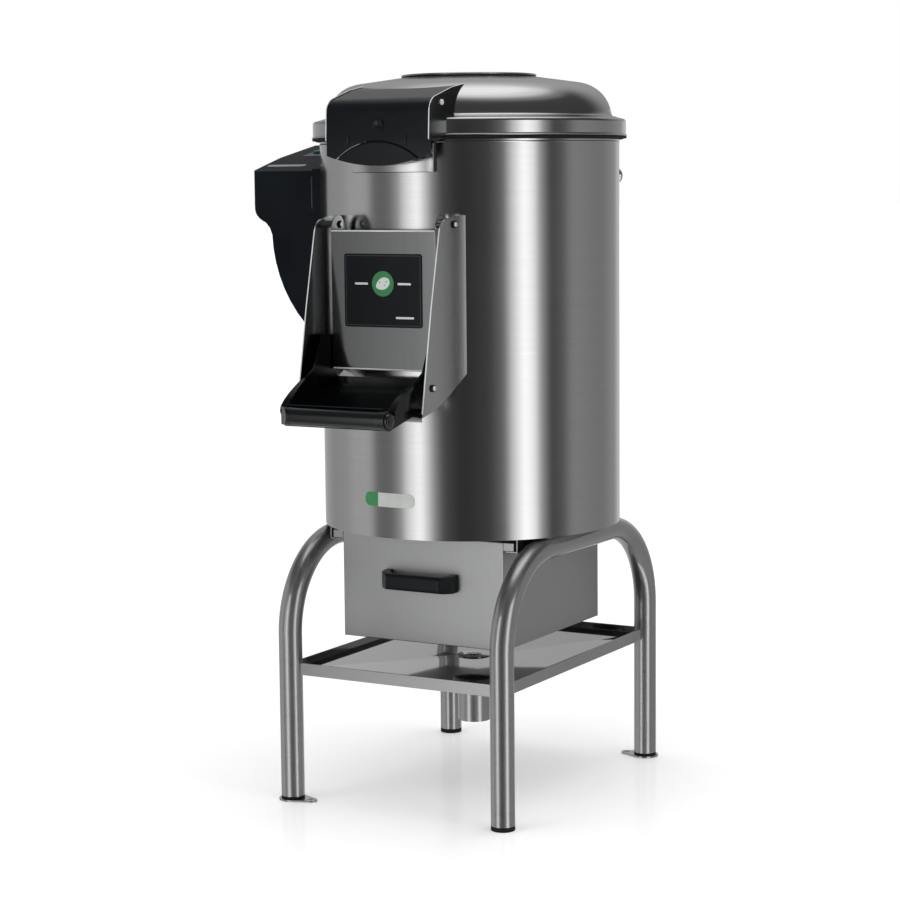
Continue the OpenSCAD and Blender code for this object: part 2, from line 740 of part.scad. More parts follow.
// The housing's front outline as [x, z], grown by g
function housing_front(g) = concat(
    [[-150, 690 - g]],
    bulge([-222, 690 - g], [-296 - g, 840], 18, 8),
    [[-300 - g, 850 - g / 2]],
    arc([34 - housing_reach, 891], 34 + g, 252, 180, 8),
    [[-housing_reach - g, 1010], [-150, 1010]]
);

// The housing's side outline as [y, z], with its two sloping top faces
function housing_side(g) = [
    [-housing_half_d - g, 600], [-housing_half_d - g, 937 + g], [panel_a[0], panel_a[1] + g],
    [panel_b[0], panel_b[1] + g], [housing_half_d + g, 976 + g], [housing_half_d + g, 600]
];

// The housing's mass, grown by g, with rounded upright edges
module housing_mass(g) intersection() {
    along(-120, 240) polygon(housing_front(g));
    across(-400, 300) polygon(housing_side(g));
    translate([-250, 0, 600]) linear_extrude(500) round_rect(2 * (housing_reach - 250 + g), 2 * (housing_half_d + g), 8);
}

shell_t = 3;
stem_r = 5;
knob_stem_r = 3;
gland_at = [-252, 800];
gland_r = 5;

module control_housing() color(black_plastic) difference() {
    housing_mass(0);
    housing_mass(-shell_t);
    cylinder(r = housing_in_r, h = 1100);
    for (p = [start_at, stop_at]) on_panel(p[0], p[1]) translate([0, 0, -20]) cylinder(r = stem_r + running, h = 30);
    on_panel(timer_at[0], timer_at[1]) translate([0, 0, -20]) cylinder(r = knob_stem_r + running, h = 30);
    translate([gland_at[0], housing_half_d - 10, gland_at[1]]) rotate([-90, 0, 0]) cylinder(r = gland_r, h = 20);
}

// The rim that joins the housing to the drum, a little wider than the housing
module housing_frame() color(black_plastic) difference() {
    intersection() {
        housing_mass(shell_t);
        cylinder(r = housing_in_r, h = 1100);
    }
    intersection() {
        housing_mass(-shell_t);
        translate([0, 0, 704]) cylinder(r = housing_in_r + 1, h = 400);
    }
    cylinder(r = drum_r, h = 1100);
    translate([0, 0, drum_top_z - 1]) cylinder(r = drum_r + 8, h = 100);
}

// Places children on the rear sloping face, x across and y up the slope
module on_panel(x, y) translate([x, panel_a[0], panel_a[1]]) rotate([panel_slope, 0, 0]) translate([0, y, 0]) children();

panel_x = -268;
panel_t = 1;
button_r = 8;
start_at = [panel_x - 13, 34];
stop_at = [panel_x + 13, 34];
timer_at = [panel_x, 64];

module control_panel() color("#3a3f45") on_panel(panel_x, 45) difference() {
    linear_extrude(panel_t) round_rect(52, 78, 5);
    for (p = [start_at, stop_at]) translate([p[0] - panel_x, p[1] - 45, -1]) cylinder(r = button_r + 0.4, h = 5);
    translate([0, timer_at[1] - 45, -1]) cylinder(r = knob_stem_r + 1, h = 5);
}

// A push button's cap on its stem, which slides through the housing's face
module button_cap() {
    translate([0, 0, -12]) cylinder(r = stem_r, h = 15);
    translate([0, 0, 1.7]) cylinder(r = button_r, h = 2);
    translate([0, 0, 3.7 - eps]) cylinder(r = button_r - 1, h = 0.8);
}
module start_button() color("green") on_panel(start_at[0], start_at[1]) button_cap();
module stop_button() color("firebrick") on_panel(stop_at[0], stop_at[1]) button_cap();

module timer_knob() color(black_plastic) on_panel(timer_at[0], timer_at[1]) translate([0, 0, panel_t + 0.3]) {
    translate([0, 0, -12]) cylinder(r = knob_stem_r, h = 14);
    cylinder(r = 15, h = 3);
    cylinder(r = 11, h = 8);
    translate([-2, 2, 7]) cube([4, 9, 2.5]);
}

module water_inlet() color("lightgray") translate([inlet_x, 0, inlet_z]) rotate([-90, 0, 0]) difference() {
    union() {
        translate([0, 0, 176]) cylinder(r = inlet_r, h = 59);
        translate([0, 0, 196]) cylinder(r = 19, h = 10, $fn = 6);
    }
    translate([0, 0, 160]) cylinder(r = 9, h = 90);
}

module cable_gland() color(black_plastic) translate([gland_at[0], housing_half_d, gland_at[1]]) rotate([-90, 0, 0])
    difference() {
        union() {
            cylinder(r = 12, h = 6, $fn = 6);
            cylinder(r = 9.5, h = 18);
        }
        translate([0, 0, -1]) cylinder(r = gland_r, h = 30);
    }

left_leg_frame();
right_leg_frame();
foot_plugs();
floor_flanges();
drain_pan();
drain_pipe();
drawer_runners();
base_studs();
drum_base();
drum_shell();
abrasive_lining();
chamber_floor();
waste_duct();
bearing_housing();
shaft_bearings();
motor_bracket();
motor();
drive_belt();
door_frame();
left_chute_cheek();
right_chute_cheek();
chute_tie();
door_pivot_screws();
tray_pivot_screws();
striker_plate();
hinge_brackets();
hinge_pin();
housing_frame();
control_housing();
control_panel();
water_inlet();
cable_gland();
lid_shell();
lid_disc();
lid_gasket();
left_lid_cheek();
right_lid_cheek();
lid_hinge_leaf();
latch_cover();
paddle_pin();
latch_paddle();
paddle_magnet();
door_panel();
door_seal();
door_label_plate();
tray_scoop();
tray_grip_bar();
grip_end_caps();
drawer_body();
drawer_rails();
drawer_filter();
drawer_handle();
abrasive_disc();
main_shaft();
driven_pulley();
motor_pulley();
start_button();
stop_button();
timer_knob();
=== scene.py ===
import json
import math

import bmesh
import bpy
from mathutils import Matrix, Vector


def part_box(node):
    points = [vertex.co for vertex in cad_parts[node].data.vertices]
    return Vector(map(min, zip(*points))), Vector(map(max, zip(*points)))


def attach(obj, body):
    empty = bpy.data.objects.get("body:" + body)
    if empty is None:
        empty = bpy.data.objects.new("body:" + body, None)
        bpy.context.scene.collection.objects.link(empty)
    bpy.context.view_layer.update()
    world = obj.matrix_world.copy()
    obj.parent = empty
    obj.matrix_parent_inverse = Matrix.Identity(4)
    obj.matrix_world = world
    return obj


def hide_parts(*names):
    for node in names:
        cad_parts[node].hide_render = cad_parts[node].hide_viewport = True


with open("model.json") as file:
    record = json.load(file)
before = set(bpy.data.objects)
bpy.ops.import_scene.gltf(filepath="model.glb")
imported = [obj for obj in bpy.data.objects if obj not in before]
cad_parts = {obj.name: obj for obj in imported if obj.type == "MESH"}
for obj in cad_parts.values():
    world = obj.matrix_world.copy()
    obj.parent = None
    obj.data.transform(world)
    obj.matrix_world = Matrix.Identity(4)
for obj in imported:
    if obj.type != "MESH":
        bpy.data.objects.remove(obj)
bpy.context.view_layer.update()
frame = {"nodes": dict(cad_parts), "record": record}
nodes = frame["nodes"]
scene = bpy.context.scene
bodyOf = {node: body for body, names in frame["record"]["behaviour"]["bodies"].items() for node in names}
print("frame loaded:", len(nodes), "nodes")


# Camera and light

cameraView = {
    "place": (1.7108, -3.0657, 0.9278), "azimuth": 29.715, "pitch": 6.769, "roll": -0.575, "lens": 92.5,
    "sensor": 36, "farthest": 200,
}


def turn(degrees, axis):
    return Matrix.Rotation(math.radians(degrees), 4, axis)


def makeCamera(view):
    camera = bpy.data.objects.new("camera", bpy.data.cameras.new("camera"))
    camera.data.sensor_width = view["sensor"]
    camera.data.lens = view["lens"]
    camera.data.clip_end = view["farthest"]
    aim = turn(view["azimuth"], "Z") @ turn(90 - view["pitch"], "X") @ turn(view["roll"], "Z")
    camera.matrix_world = Matrix.Translation(view["place"]) @ aim
    scene.collection.objects.link(camera)
    scene.camera = camera


def addNode(tree, kind, values=None, **settings):
    node = tree.nodes.new("ShaderNode" + kind)
    for name, value in settings.items():
        setattr(node, name, value)
    for socket, value in (values or {}).items():
        node.inputs[socket].default_value = value
    return node


def maths(tree, operation, a, b=None):
    node = addNode(tree, "Math", operation=operation)
    for socket, value in zip(node.inputs, (a, b)):
        if isinstance(value, bpy.types.NodeSocket):
            tree.links.new(value, socket)
        elif value is not None:
            socket.default_value = value
    return node.outputs[0]


def ramp(tree, factor, stops, interpolation="LINEAR"):
    node = addNode(tree, "ValToRGB")
    node.color_ramp.interpolation = interpolation
    elements = node.color_ramp.elements
    elements.remove(elements[1])
    for place, shade in stops:
        element = elements[0] if place == stops[0][0] else elements.new(place)
        element.position = place
        element.color = (*shade, 1) if isinstance(shade, tuple) else (shade, shade, shade, 1)
    tree.links.new(factor, node.inputs["Fac"])
    return node.outputs["Color"]


# Two colours mixed by a factor, or multiplied where the blend says so
def mixColour(tree, factor, a, b, blend="MIX"):
    node = addNode(tree, "Mix", data_type="RGBA", blend_type=blend)
    for socket, value in ((node.inputs["Factor"], factor), (node.inputs[6], a), (node.inputs[7], b)):
        if isinstance(value, bpy.types.NodeSocket):
            tree.links.new(value, socket)
        else:
            socket.default_value = value
    return node.outputs[2]


def objectPlace(tree):
    place = addNode(tree, "SeparateXYZ")
    tree.links.new(addNode(tree, "TexCoord").outputs["Object"], place.inputs[0])
    return place.outputs


# One for the rays that come from the camera, a reflection or a clear surface, and nought for the others
def directRays(tree):
    path = addNode(tree, "LightPath")
    seen = maths(tree, "MAXIMUM", path.outputs["Is Camera Ray"], path.outputs["Is Glossy Ray"])
    return maths(tree, "MAXIMUM", seen, path.outputs["Is Transmission Ray"])


def stagePiece(name, bm, material):
    mesh = bpy.data.meshes.new(name)
    bm.to_mesh(mesh)
    bm.free()
    mesh.materials.append(material)
    piece = bpy.data.objects.new(name, mesh)
    scene.collection.objects.link(piece)
    return piece


worldLight = {"colour": (1, 1, 1, 1), "background": 1.0, "diffuse": 0.85}


def makeWorld(light):
    world = bpy.data.worlds.new("studio")
    world.use_nodes = True
    scene.world = world
    tree = world.node_tree
    tree.nodes.clear()
    mix = addNode(tree, "MixShader")
    tree.links.new(directRays(tree), mix.inputs[0])
    for socket, strength in ((mix.inputs[1], light["diffuse"]), (mix.inputs[2], light["background"])):
        shade = addNode(tree, "Background", {"Color": light["colour"], "Strength": strength})
        tree.links.new(shade.outputs[0], socket)
    tree.links.new(mix.outputs[0], addNode(tree, "OutputWorld").inputs[0])


# Tall panels of light and shade stand round the studio, as (degrees from the front towards the right,
# strength). Over them is a sky, as (degrees above the rim, strength), with one course for its front and one
# for its back. The panels go on below the floor, which metal doesn't show, so that the legs show them down
# to their feet.
studioDome = {
    "radius": 1.6, "height": 1.0, "sides": 72, "rows": 36, "pole": 0.001, "skyFrom": 3.0, "skyBlend": 0.05,
    "backAt": -150, "backBlend": (0.66, 0.94), "tilt": 0.10, "tiltAt": 100, "brightest": 4.0,
    "panels": [
        (-180, 0.62), (-160, 0.50), (-137, 0.62), (-116, 0.42), (-98, 0.36), (-80, 0.40), (-66, 0.50),
        (-52, 0.52), (-42, 0.18), (-32, 0.18), (-24, 0.36), (-17, 1.10), (-8, 1.70), (-2, 0.85), (3, 0.30),
        (9, 0.08), (22, 0.04), (40, 0.06), (52, 0.16), (60, 1.05), (67, 1.85), (74, 1.45), (80, 0.38),
        (88, 0.06), (96, 0.12), (108, 0.32), (140, 0.26), (165, 0.34), (180, 0.62),
    ],
    "front": [(0, 0.05), (44, 0.07), (52, 0.28), (62, 1.00), (72, 1.35), (90, 1.40)],
    "back": [(0, 0.30), (40, 0.45), (60, 0.65), (74, 1.00), (90, 1.40)],
}


# A sphere whose lower half is a straight wall
def domeMesh(dome):
    bm = bmesh.new()
    bmesh.ops.create_uvsphere(bm, u_segments=dome["sides"], v_segments=dome["rows"], radius=dome["radius"])
    for v in bm.verts:
        flat = Vector((v.co.x, v.co.y, 0))
        if v.co.z < 0 and flat.length > dome["pole"]:
            v.co = flat.normalized() * dome["radius"] + Vector((0, 0, v.co.z))
    bmesh.ops.translate(bm, verts=bm.verts, vec=(0, 0, dome["height"]))
    return bm


def domeMaterial(dome):
    material = bpy.data.materials.new("studioDome")
    material.use_nodes = True
    tree = material.node_tree
    tree.nodes.clear()
    x, back, height = objectPlace(tree)
    height = maths(tree, "SUBTRACT", height, dome["height"])
    front = maths(tree, "MULTIPLY", back, -1)

    def reachTowards(degrees):
        angle = math.radians(degrees)
        across = maths(tree, "MULTIPLY", x, math.sin(angle))
        return maths(tree, "ADD", across, maths(tree, "MULTIPLY", front, math.cos(angle)))

    def course(factor, stops, least, span):
        places = [((degrees - least) / span, light / dome["brightest"]) for degrees, light in stops]
        return ramp(tree, factor, places, "EASE")

    flat = maths(tree, "ADD", maths(tree, "MULTIPLY", x, x), maths(tree, "MULTIPLY", front, front))
    flat = maths(tree, "SQRT", flat)
    rise = maths(tree, "DIVIDE", maths(tree, "ARCTAN2", height, flat), math.pi / 2)
    lean = maths(tree, "DIVIDE", reachTowards(dome["tiltAt"]), dome["radius"])
    tilted = maths(tree, "ADD", rise, maths(tree, "MULTIPLY", lean, dome["tilt"]))
    away = maths(tree, "DIVIDE", reachTowards(dome["backAt"]), flat)
    away = maths(tree, "ADD", maths(tree, "DIVIDE", away, 2), 0.5)
    share = maths(tree, "DIVIDE", maths(tree, "ARCTAN2", x, front), 2 * math.pi)
    wall = course(maths(tree, "ADD", share, 0.5), dome["panels"], -180, 360)
    skies = [course(tilted, dome[side], 0, 90) for side in ("front", "back")]
    nearBack, farBack = dome["backBlend"]
    sky = mixColour(tree, ramp(tree, away, [(nearBack, 0.0), (farBack, 1.0)], "EASE"), *skies)
    rim = dome["skyFrom"] / 90
    overRim = ramp(tree, rise, [(rim, 0.0), (rim + dome["skyBlend"], 1.0)], "EASE")
    light = addNode(tree, "Emission", {"Strength": dome["brightest"]})
    tree.links.new(mixColour(tree, overRim, wall, sky), light.inputs["Color"])
    tree.links.new(light.outputs[0], addNode(tree, "OutputMaterial").inputs[0])
    return material


def makeStudioDome(dome):
    piece = stagePiece("studioDome", domeMesh(dome), domeMaterial(dome))
    piece.visible_camera = False
    piece.visible_diffuse = False
    piece.visible_shadow = False


lamps = {
    "keyLamp": {"place": (-1.6, -2.6, 2.6), "aim": (0, 0, 0.6), "size": (1.6, 1.6), "power": 14},
    "sideLamp": {"place": (3.0, -0.9, 2.2), "aim": (0, 0, 0.6), "size": (1.2, 1.8), "power": 10},
    "topLamp": {"place": (0.2, 0.3, 3.6), "aim": (0, 0, 0.5), "size": (2.6, 2.6), "power": 24},
}


def makeLamp(name, lamp):
    light = bpy.data.lights.new(name, "AREA")
    light.shape = "RECTANGLE"
    light.size, light.size_y = lamp["size"]
    light.energy = lamp["power"]
    piece = bpy.data.objects.new(name, light)
    piece.location = lamp["place"]
    way = Vector(lamp["aim"]) - Vector(lamp["place"])
    piece.rotation_euler = way.to_track_quat("-Z", "Y").to_euler()
    piece.visible_glossy = False
    scene.collection.objects.link(piece)


# The lift is a glow that only direct rays see
studioFloor = {"reach": 60, "cells": 4, "colour": (0.95, 0.95, 0.95, 1), "roughness": 0.12, "specular": 0.06,
               "lift": 0.2, "glow": (1, 1, 1, 1)}


def makeFloor(floor):
    bm = bmesh.new()
    bmesh.ops.create_grid(bm, x_segments=floor["cells"], y_segments=floor["cells"], size=floor["reach"])
    material = bpy.data.materials.new("studioFloor")
    material.use_nodes = True
    tree = material.node_tree
    shader = tree.nodes["Principled BSDF"]
    shader.inputs["Base Color"].default_value = floor["colour"]
    shader.inputs["Roughness"].default_value = floor["roughness"]
    shader.inputs["Specular IOR Level"].default_value = floor["specular"]
    shader.inputs["Emission Color"].default_value = floor["glow"]
    lift = maths(tree, "MULTIPLY", directRays(tree), floor["lift"])
    tree.links.new(lift, shader.inputs["Emission Strength"])
    piece = stagePiece("studioFloor", bm, material)
    piece.visible_glossy = False


makeCamera(cameraView)
makeWorld(worldLight)
makeStudioDome(studioDome)
for lampName, lamp in lamps.items():
    makeLamp(lampName, lamp)
makeFloor(studioFloor)
scene.view_settings.view_transform = "Standard"
print("camera, lamps and floor placed")


# Materials

def startMaterial(name, roughness, metallic=0.0):
    material = bpy.data.materials.new(name)
    material.use_nodes = True
    shader = material.node_tree.nodes["Principled BSDF"]
    shader.inputs["Metallic"].default_value = metallic
    shader.inputs["Roughness"].default_value = roughness
    return material, material.node_tree, shader


def noise(tree, scale, stretch=(1, 1, 1), detail=3.0, roughness=0.5):
    mapping = addNode(tree, "Mapping", {"Scale": stretch})
    tree.links.new(addNode(tree, "TexCoord").outputs["Object"], mapping.inputs["Vector"])
    node = addNode(tree, "TexNoise", {"Scale": scale, "Detail": detail, "Roughness": roughness})
    tree.links.new(mapping.outputs[0], node.inputs["Vector"])
    return node.outputs["Fac"]


def addShades(tree, shader, factor, look):
    dark = tuple(c * (1 - look["spread"]) for c in look["colour"])
    light = tuple(min(1.0, c * (1 + look["spread"])) for c in look["colour"])
    low, high = look["stops"]
    tree.links.new(ramp(tree, factor, [(low, dark), (high, light)]), shader.inputs["Base Color"])


# Roughness goes from one share of the look's to another, as the factor goes from nought to one
def addRoughness(tree, shader, factor, look):
    full = look["roughness"]
    low, high = look["rough"]
    rough = maths(tree, "ADD", maths(tree, "MULTIPLY", factor, full * (high - low)), full * low)
    tree.links.new(rough, shader.inputs["Roughness"])


def addBump(tree, shader, height, look):
    bump = addNode(tree, "Bump", {"Strength": look["bump"], "Distance": look["depth"]})
    tree.links.new(height, bump.inputs["Height"])
    tree.links.new(bump.outputs[0], shader.inputs["Normal"])


# A steel's grain is stretched by three scales, and a shine is a polish over it, as (roughness, IOR)
def steel(name, look):
    material, tree, shader = startMaterial(name, look["roughness"], 1.0)
    grain = noise(tree, 1.0, look["grain"], look["detail"], look["coarseness"])
    addShades(tree, shader, grain, look)
    addRoughness(tree, shader, noise(tree, look["cloud"]), look)
    if "shine" in look:
        roughness, index = look["shine"]
        shader.inputs["Coat Weight"].default_value = 1.0
        shader.inputs["Coat Roughness"].default_value = roughness
        shader.inputs["Coat IOR"].default_value = index
    addBump(tree, shader, grain, look)
    return material


def plastic(name, look):
    material, tree, shader = startMaterial(name, look["roughness"])
    cloud = noise(tree, look["cloud"], detail=look["detail"])
    addShades(tree, shader, cloud, look)
    addRoughness(tree, shader, cloud, look)
    shader.inputs["Specular IOR Level"].default_value = look["specular"]
    addBump(tree, shader, noise(tree, look["pebble"], detail=look["pebbleDetail"]), look)
    return material


# A print whose colour changes at given places across the object, which the width reaches over
def bandedPrint(name, look):
    material, tree, shader = startMaterial(name, look["roughness"])
    width = look["width"]
    share = maths(tree, "ADD", maths(tree, "DIVIDE", objectPlace(tree)["X"], width), 0.5)
    bands = ramp(tree, share, [(x / width + 0.5, colour) for x, colour in look["bands"]], "CONSTANT")
    speckle = ramp(tree, noise(tree, look["speckle"]), look["shades"])
    tree.links.new(mixColour(tree, 1.0, bands, speckle, "MULTIPLY"), shader.inputs["Base Color"])
    addBump(tree, shader, noise(tree, look["pebble"]), look)
    return material


# A negative spread makes the grains light in their middle
def grit(name, look):
    material, tree, shader = startMaterial(name, look["roughness"])
    grains = addNode(tree, "TexVoronoi", {"Scale": look["scale"]})
    tree.links.new(addNode(tree, "TexCoord").outputs["Object"], grains.inputs["Vector"])
    addShades(tree, shader, grains.outputs["Distance"], look)
    addBump(tree, shader, grains.outputs["Distance"], look)
    return material


# What a look leaves out comes from the plain look of its kind
plainSteel = {"slot": "satin", "grain": (420, 420, 10), "detail": 4.0, "coarseness": 0.6, "stops": (0.3, 0.7),
              "spread": 0.03, "cloud": 7.0, "rough": (0.85, 1.15), "bump": 0.02, "depth": 0.0004}
steels = {
    "brushedSteel": {"slot": "brushed", "colour": (0.58, 0.58, 0.585), "grain": (3, 3, 800),
                     "roughness": 0.17, "bump": 0.08},
    "satinSteel": {"colour": (0.52, 0.525, 0.525), "roughness": 0.30, "spread": 0.012},
    "matSteel": {"colour": (0.61, 0.615, 0.615), "roughness": 0.44, "spread": 0.012},
    "sheetSteel": {"colour": (0.66, 0.665, 0.67), "roughness": 0.18},
    "doorSteel": {"colour": (0.41, 0.415, 0.42), "roughness": 0.12},
    "coverSteel": {"colour": (0.17, 0.175, 0.18), "roughness": 0.20},
    "tubeSteel": {"colour": (0.45, 0.455, 0.455), "grain": (30, 30, 300), "roughness": 0.42, "spread": 0.04,
                  "bump": 0.01, "shine": (0.06, 2.3)},
    "panSteel": {"slot": "brushed", "colour": (0.37, 0.375, 0.375), "grain": (300, 5, 5), "roughness": 0.05,
                 "bump": 0.01},
    "polishedSteel": {"slot": "polished", "colour": (0.66, 0.66, 0.67), "grain": (200, 200, 200),
                      "roughness": 0.14, "spread": 0.04, "bump": 0.01},
    "castMetal": {"slot": "cast", "colour": (0.22, 0.22, 0.23), "grain": (90, 90, 90), "roughness": 0.5,
                  "spread": 0.15, "bump": 0.3},
}
plainPlastic = {"cloud": 9.0, "detail": 4.0, "stops": (0.35, 0.65), "spread": 0.15, "rough": (0.8, 1.2),
                "pebble": 1500, "pebbleDetail": 2.0, "bump": 0.02, "depth": 0.0003, "roughness": 0.35,
                "specular": 0.5}
plastics = {
    # The pale edge finish is a painted highlight: it lights the cut edges, the door's hems and the screw
    # heads
    "paintedHighlight": {"slot": "polished", "colour": (0.66, 0.67, 0.68), "roughness": 0.25, "pebble": 1200},
    "blackPlastic": {"slot": "black_plastic", "colour": (0.0065, 0.0082, 0.0102), "roughness": 0.24,
                     "pebble": 1400, "bump": 0.04, "specular": 0.35},
    "housingBlack": {"slot": "black_plastic", "colour": (0.0085, 0.0103, 0.0130), "roughness": 0.36,
                     "pebble": 1400, "bump": 0.04, "specular": 0.03},
    "gripBlack": {"slot": "black_plastic", "colour": (0.0045, 0.0055, 0.0070), "roughness": 0.18,
                  "pebble": 1400, "bump": 0.03, "specular": 0.9},
    "trayBlack": {"slot": "black_plastic", "colour": (0.0015, 0.0020, 0.0026), "roughness": 0.20,
                  "pebble": 1000, "bump": 0.05, "specular": 0.4},
    "blackRubber": {"slot": "black_rubber", "colour": (0.010, 0.010, 0.010), "roughness": 0.7, "pebble": 700,
                    "bump": 0.2, "specular": 0.3},
    "motorPaint": {"slot": "motor_paint", "colour": (0.05, 0.08, 0.12), "roughness": 0.45, "pebble": 300,
                   "bump": 0.2},
    "labelFoil": {"slot": "panel", "colour": (0.004, 0.005, 0.0075), "roughness": 0.20, "specular": 0.3},
    "panelFoil": {"slot": "panel", "colour": (0.045, 0.058, 0.078), "bump": 0.03, "specular": 0.3},
    "greenPlastic": {"slot": "green", "colour": (0.010, 0.060, 0.022), "roughness": 0.3, "bump": 0.03,
                     "specular": 0.3},
    "redPlastic": {"slot": "red", "colour": (0.40, 0.015, 0.015), "roughness": 0.3, "bump": 0.03},
    "lightPrint": {"slot": "panel", "colour": (0.66, 0.68, 0.66)},
    # Grey print on the label's frame, and a painted highlight on the housing's ribs
    "greyPrintAndHighlight": {"slot": "panel", "colour": (0.035, 0.038, 0.042)},
    "stripPrint": {"slot": "panel", "colour": (0.20, 0.21, 0.215)},
    "greenPrint": {"slot": "green", "colour": (0.03, 0.21, 0.07), "roughness": 0.3},
}
bandedPrints = {
    "badgePrint": {"slot": "panel", "bands": [(-0.2, (0.04, 0.26, 0.09)), (-0.034, (0.60, 0.62, 0.60))],
                   "width": 0.4, "speckle": 60.0, "shades": [(0.3, 0.9), (0.7, 1.0)], "roughness": 0.35,
                   "pebble": 900.0, "bump": 0.05, "depth": 0.0002},
}
grits = {
    "abrasiveGrit": {"slot": "abrasive", "colour": (0.10, 0.095, 0.09), "roughness": 0.85, "scale": 420,
                     "stops": (0.1, 0.6), "spread": -0.5, "bump": 0.8, "depth": 0.0012},
}
finishes, finishSlots = {}, {}
kinds = ((steel, plainSteel, steels), (plastic, plainPlastic, plastics), (bandedPrint, {}, bandedPrints),
         (grit, {}, grits))
for make, plain, looks in kinds:
    for name, look in looks.items():
        look = {**plain, **look}
        finishes[name] = make(name, look)
        finishSlots[name] = look["slot"]
print("materials made:", len(finishes))


# Finishes of the metal and plastic nodes

nodeFinish = {
    "tubeSteel": ["left_leg_frame", "right_leg_frame", "drain_pipe"],
    "satinSteel": ["floor_flanges", "drawer_runners", "drum_base", "chamber_floor", "waste_duct",
                   "motor_bracket", "hinge_brackets", "lid_hinge_leaf"],
    "matSteel": ["drawer_body", "drawer_rails", "drawer_filter"],
    "sheetSteel": ["door_frame", "left_chute_cheek", "right_chute_cheek", "chute_tie"],
    "doorSteel": ["door_panel"],
    "coverSteel": ["left_lid_cheek", "right_lid_cheek"],
    "brushedSteel": ["drum_shell", "lid_shell", "lid_disc", "striker_plate"],
    "panSteel": ["drain_pan"],
    "polishedSteel": ["shaft_bearings", "door_pivot_screws", "tray_pivot_screws", "hinge_pin", "water_inlet",
                      "paddle_pin", "main_shaft", "base_studs"],
    "castMetal": ["bearing_housing", "driven_pulley", "motor_pulley", "paddle_magnet"],
    "blackPlastic": ["cable_gland", "latch_cover", "latch_paddle", "drawer_handle", "timer_knob"],
    "gripBlack": ["tray_grip_bar", "grip_end_caps"],
    "housingBlack": ["housing_frame", "control_housing"],
    "trayBlack": ["tray_scoop"],
    "blackRubber": ["foot_plugs", "drive_belt", "lid_gasket", "door_seal"],
    "motorPaint": ["motor"],
    "panelFoil": ["control_panel"],
    "labelFoil": ["door_label_plate"],
    "greenPlastic": ["start_button"],
    "redPlastic": ["stop_button"],
    "abrasiveGrit": ["abrasive_lining", "abrasive_disc"],
}
finishOf = {node: finish for finish, names in nodeFinish.items() for node in names}
for node, finish in finishOf.items():
    nodes[node].data.materials.clear()
    nodes[node].data.materials.append(finishes[finish])
print("nodes dressed:", len(finishOf))


# Helpers for the pieces, which work in metres. Places closer than the near value are one.
near = 1e-6


def finishPiece(name, bm, body, finish, replaced=(), sharp=35):
    mesh = bpy.data.meshes.new(name)
    bm.to_mesh(mesh)
    bm.free()
    mesh.shade_smooth()
    mesh.set_sharp_from_angle(angle=math.radians(sharp))
    mesh.materials.append(finishes[finish])
    piece = bpy.data.objects.new(name, mesh)
    scene.collection.objects.link(piece)
    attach(piece, body)
    if replaced:
        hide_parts(*replaced)
    return piece


def arcPoints(centre, radius, start, end, count):
    angles = [math.radians(start + (end - start) * i / count) for i in range(count + 1)]
    return [(centre[0] + radius * math.cos(a), centre[1] + radius * math.sin(a)) for a in angles]


# A profile of (radius, height) turned once round the Z axis
def spun(bm, profile, steps):
    points = [bm.verts.new((r, 0, z)) for r, z in profile]
    edges = [bm.edges.new(pair) for pair in zip(points, points[1:])]
    old = set(bm.faces)
    bmesh.ops.spin(bm, geom=points + edges, cent=(0, 0, 0), axis=(0, 0, 1), dvec=(0, 0, 0),
                   angle=2 * math.pi, steps=steps, use_merge=True)
    made = {v for f in bm.faces if f not in old for v in f.verts}
    bmesh.ops.remove_doubles(bm, verts=list(made), dist=near)
    return [f for f in bm.faces if f not in old]


# A closed outline wound round an axis through the origin, with a rise along Z for each step
def wound(bm, outline, axis, angle, steps, rise=0.0):
    face = bm.faces.new([bm.verts.new(point) for point in outline])
    bmesh.ops.spin(bm, geom=[face] + face.edges[:] + face.verts[:], cent=(0, 0, 0), axis=axis,
                   dvec=(0, 0, rise), angle=angle, steps=steps)
    bmesh.ops.remove_doubles(bm, verts=bm.verts, dist=near)
    bmesh.ops.recalc_face_normals(bm, faces=bm.faces)


def facesOut(bm, faces, middle):
    bmesh.ops.recalc_face_normals(bm, faces=faces)
    lean = sum(f.normal.dot(f.calc_center_median() - Vector(middle)) * f.calc_area() for f in faces)
    if lean < 0:
        bmesh.ops.reverse_faces(bm, faces=faces)


def placeFaces(bm, faces, matrix):
    bmesh.ops.transform(bm, matrix=matrix, verts=list({v for f in faces for v in f.verts}))


def thicken(bm, faces, depth):
    lifted = bmesh.ops.extrude_face_region(bm, geom=faces)["geom"]
    bmesh.ops.translate(bm, verts=[v for v in lifted if isinstance(v, bmesh.types.BMVert)], vec=(0, 0, depth))


def roundEdges(bm, edges, width, segments, clamped=False):
    bmesh.ops.bevel(bm, geom=edges, offset=width, offset_type="OFFSET", segments=segments, profile=0.5,
                    affect="EDGES", clamp_overlap=clamped, material=-1)


# Of some edges, the ones that turn by more than a radian
def squareEdges(edges):
    return [e for e in edges if e.calc_face_angle(0) > 1]


# A plate with round corners, flat on the XY plane and depth thick, put in place by a matrix. A shape below
# holds its sizes in this order, without one that is worked out
def roundPlate(bm, width, height, corner, depth, place):
    old = set(bm.faces)
    made = bmesh.ops.create_grid(bm, x_segments=1, y_segments=1, size=0.5)
    bmesh.ops.scale(bm, verts=made["verts"], vec=(width, height, 1))
    bmesh.ops.bevel(bm, geom=made["verts"], offset=corner, offset_type="OFFSET", segments=6, profile=0.5,
                    affect="VERTICES", material=-1)
    thicken(bm, [f for f in bm.faces if f not in old], depth)
    faces = [f for f in bm.faces if f not in old]
    bmesh.ops.recalc_face_normals(bm, faces=faces)
    placeFaces(bm, faces, place)
    return faces


# A domed screw head with a six-sided socket, as rings of (sides, share of the radius, share of the height)
screwRings = [(24, 1, 0), (24, 1, 0.55), (24, 0.9, 0.88), (24, 0.72, 1), (6, 0.46, 1), (6, 0.46, 0.35)]


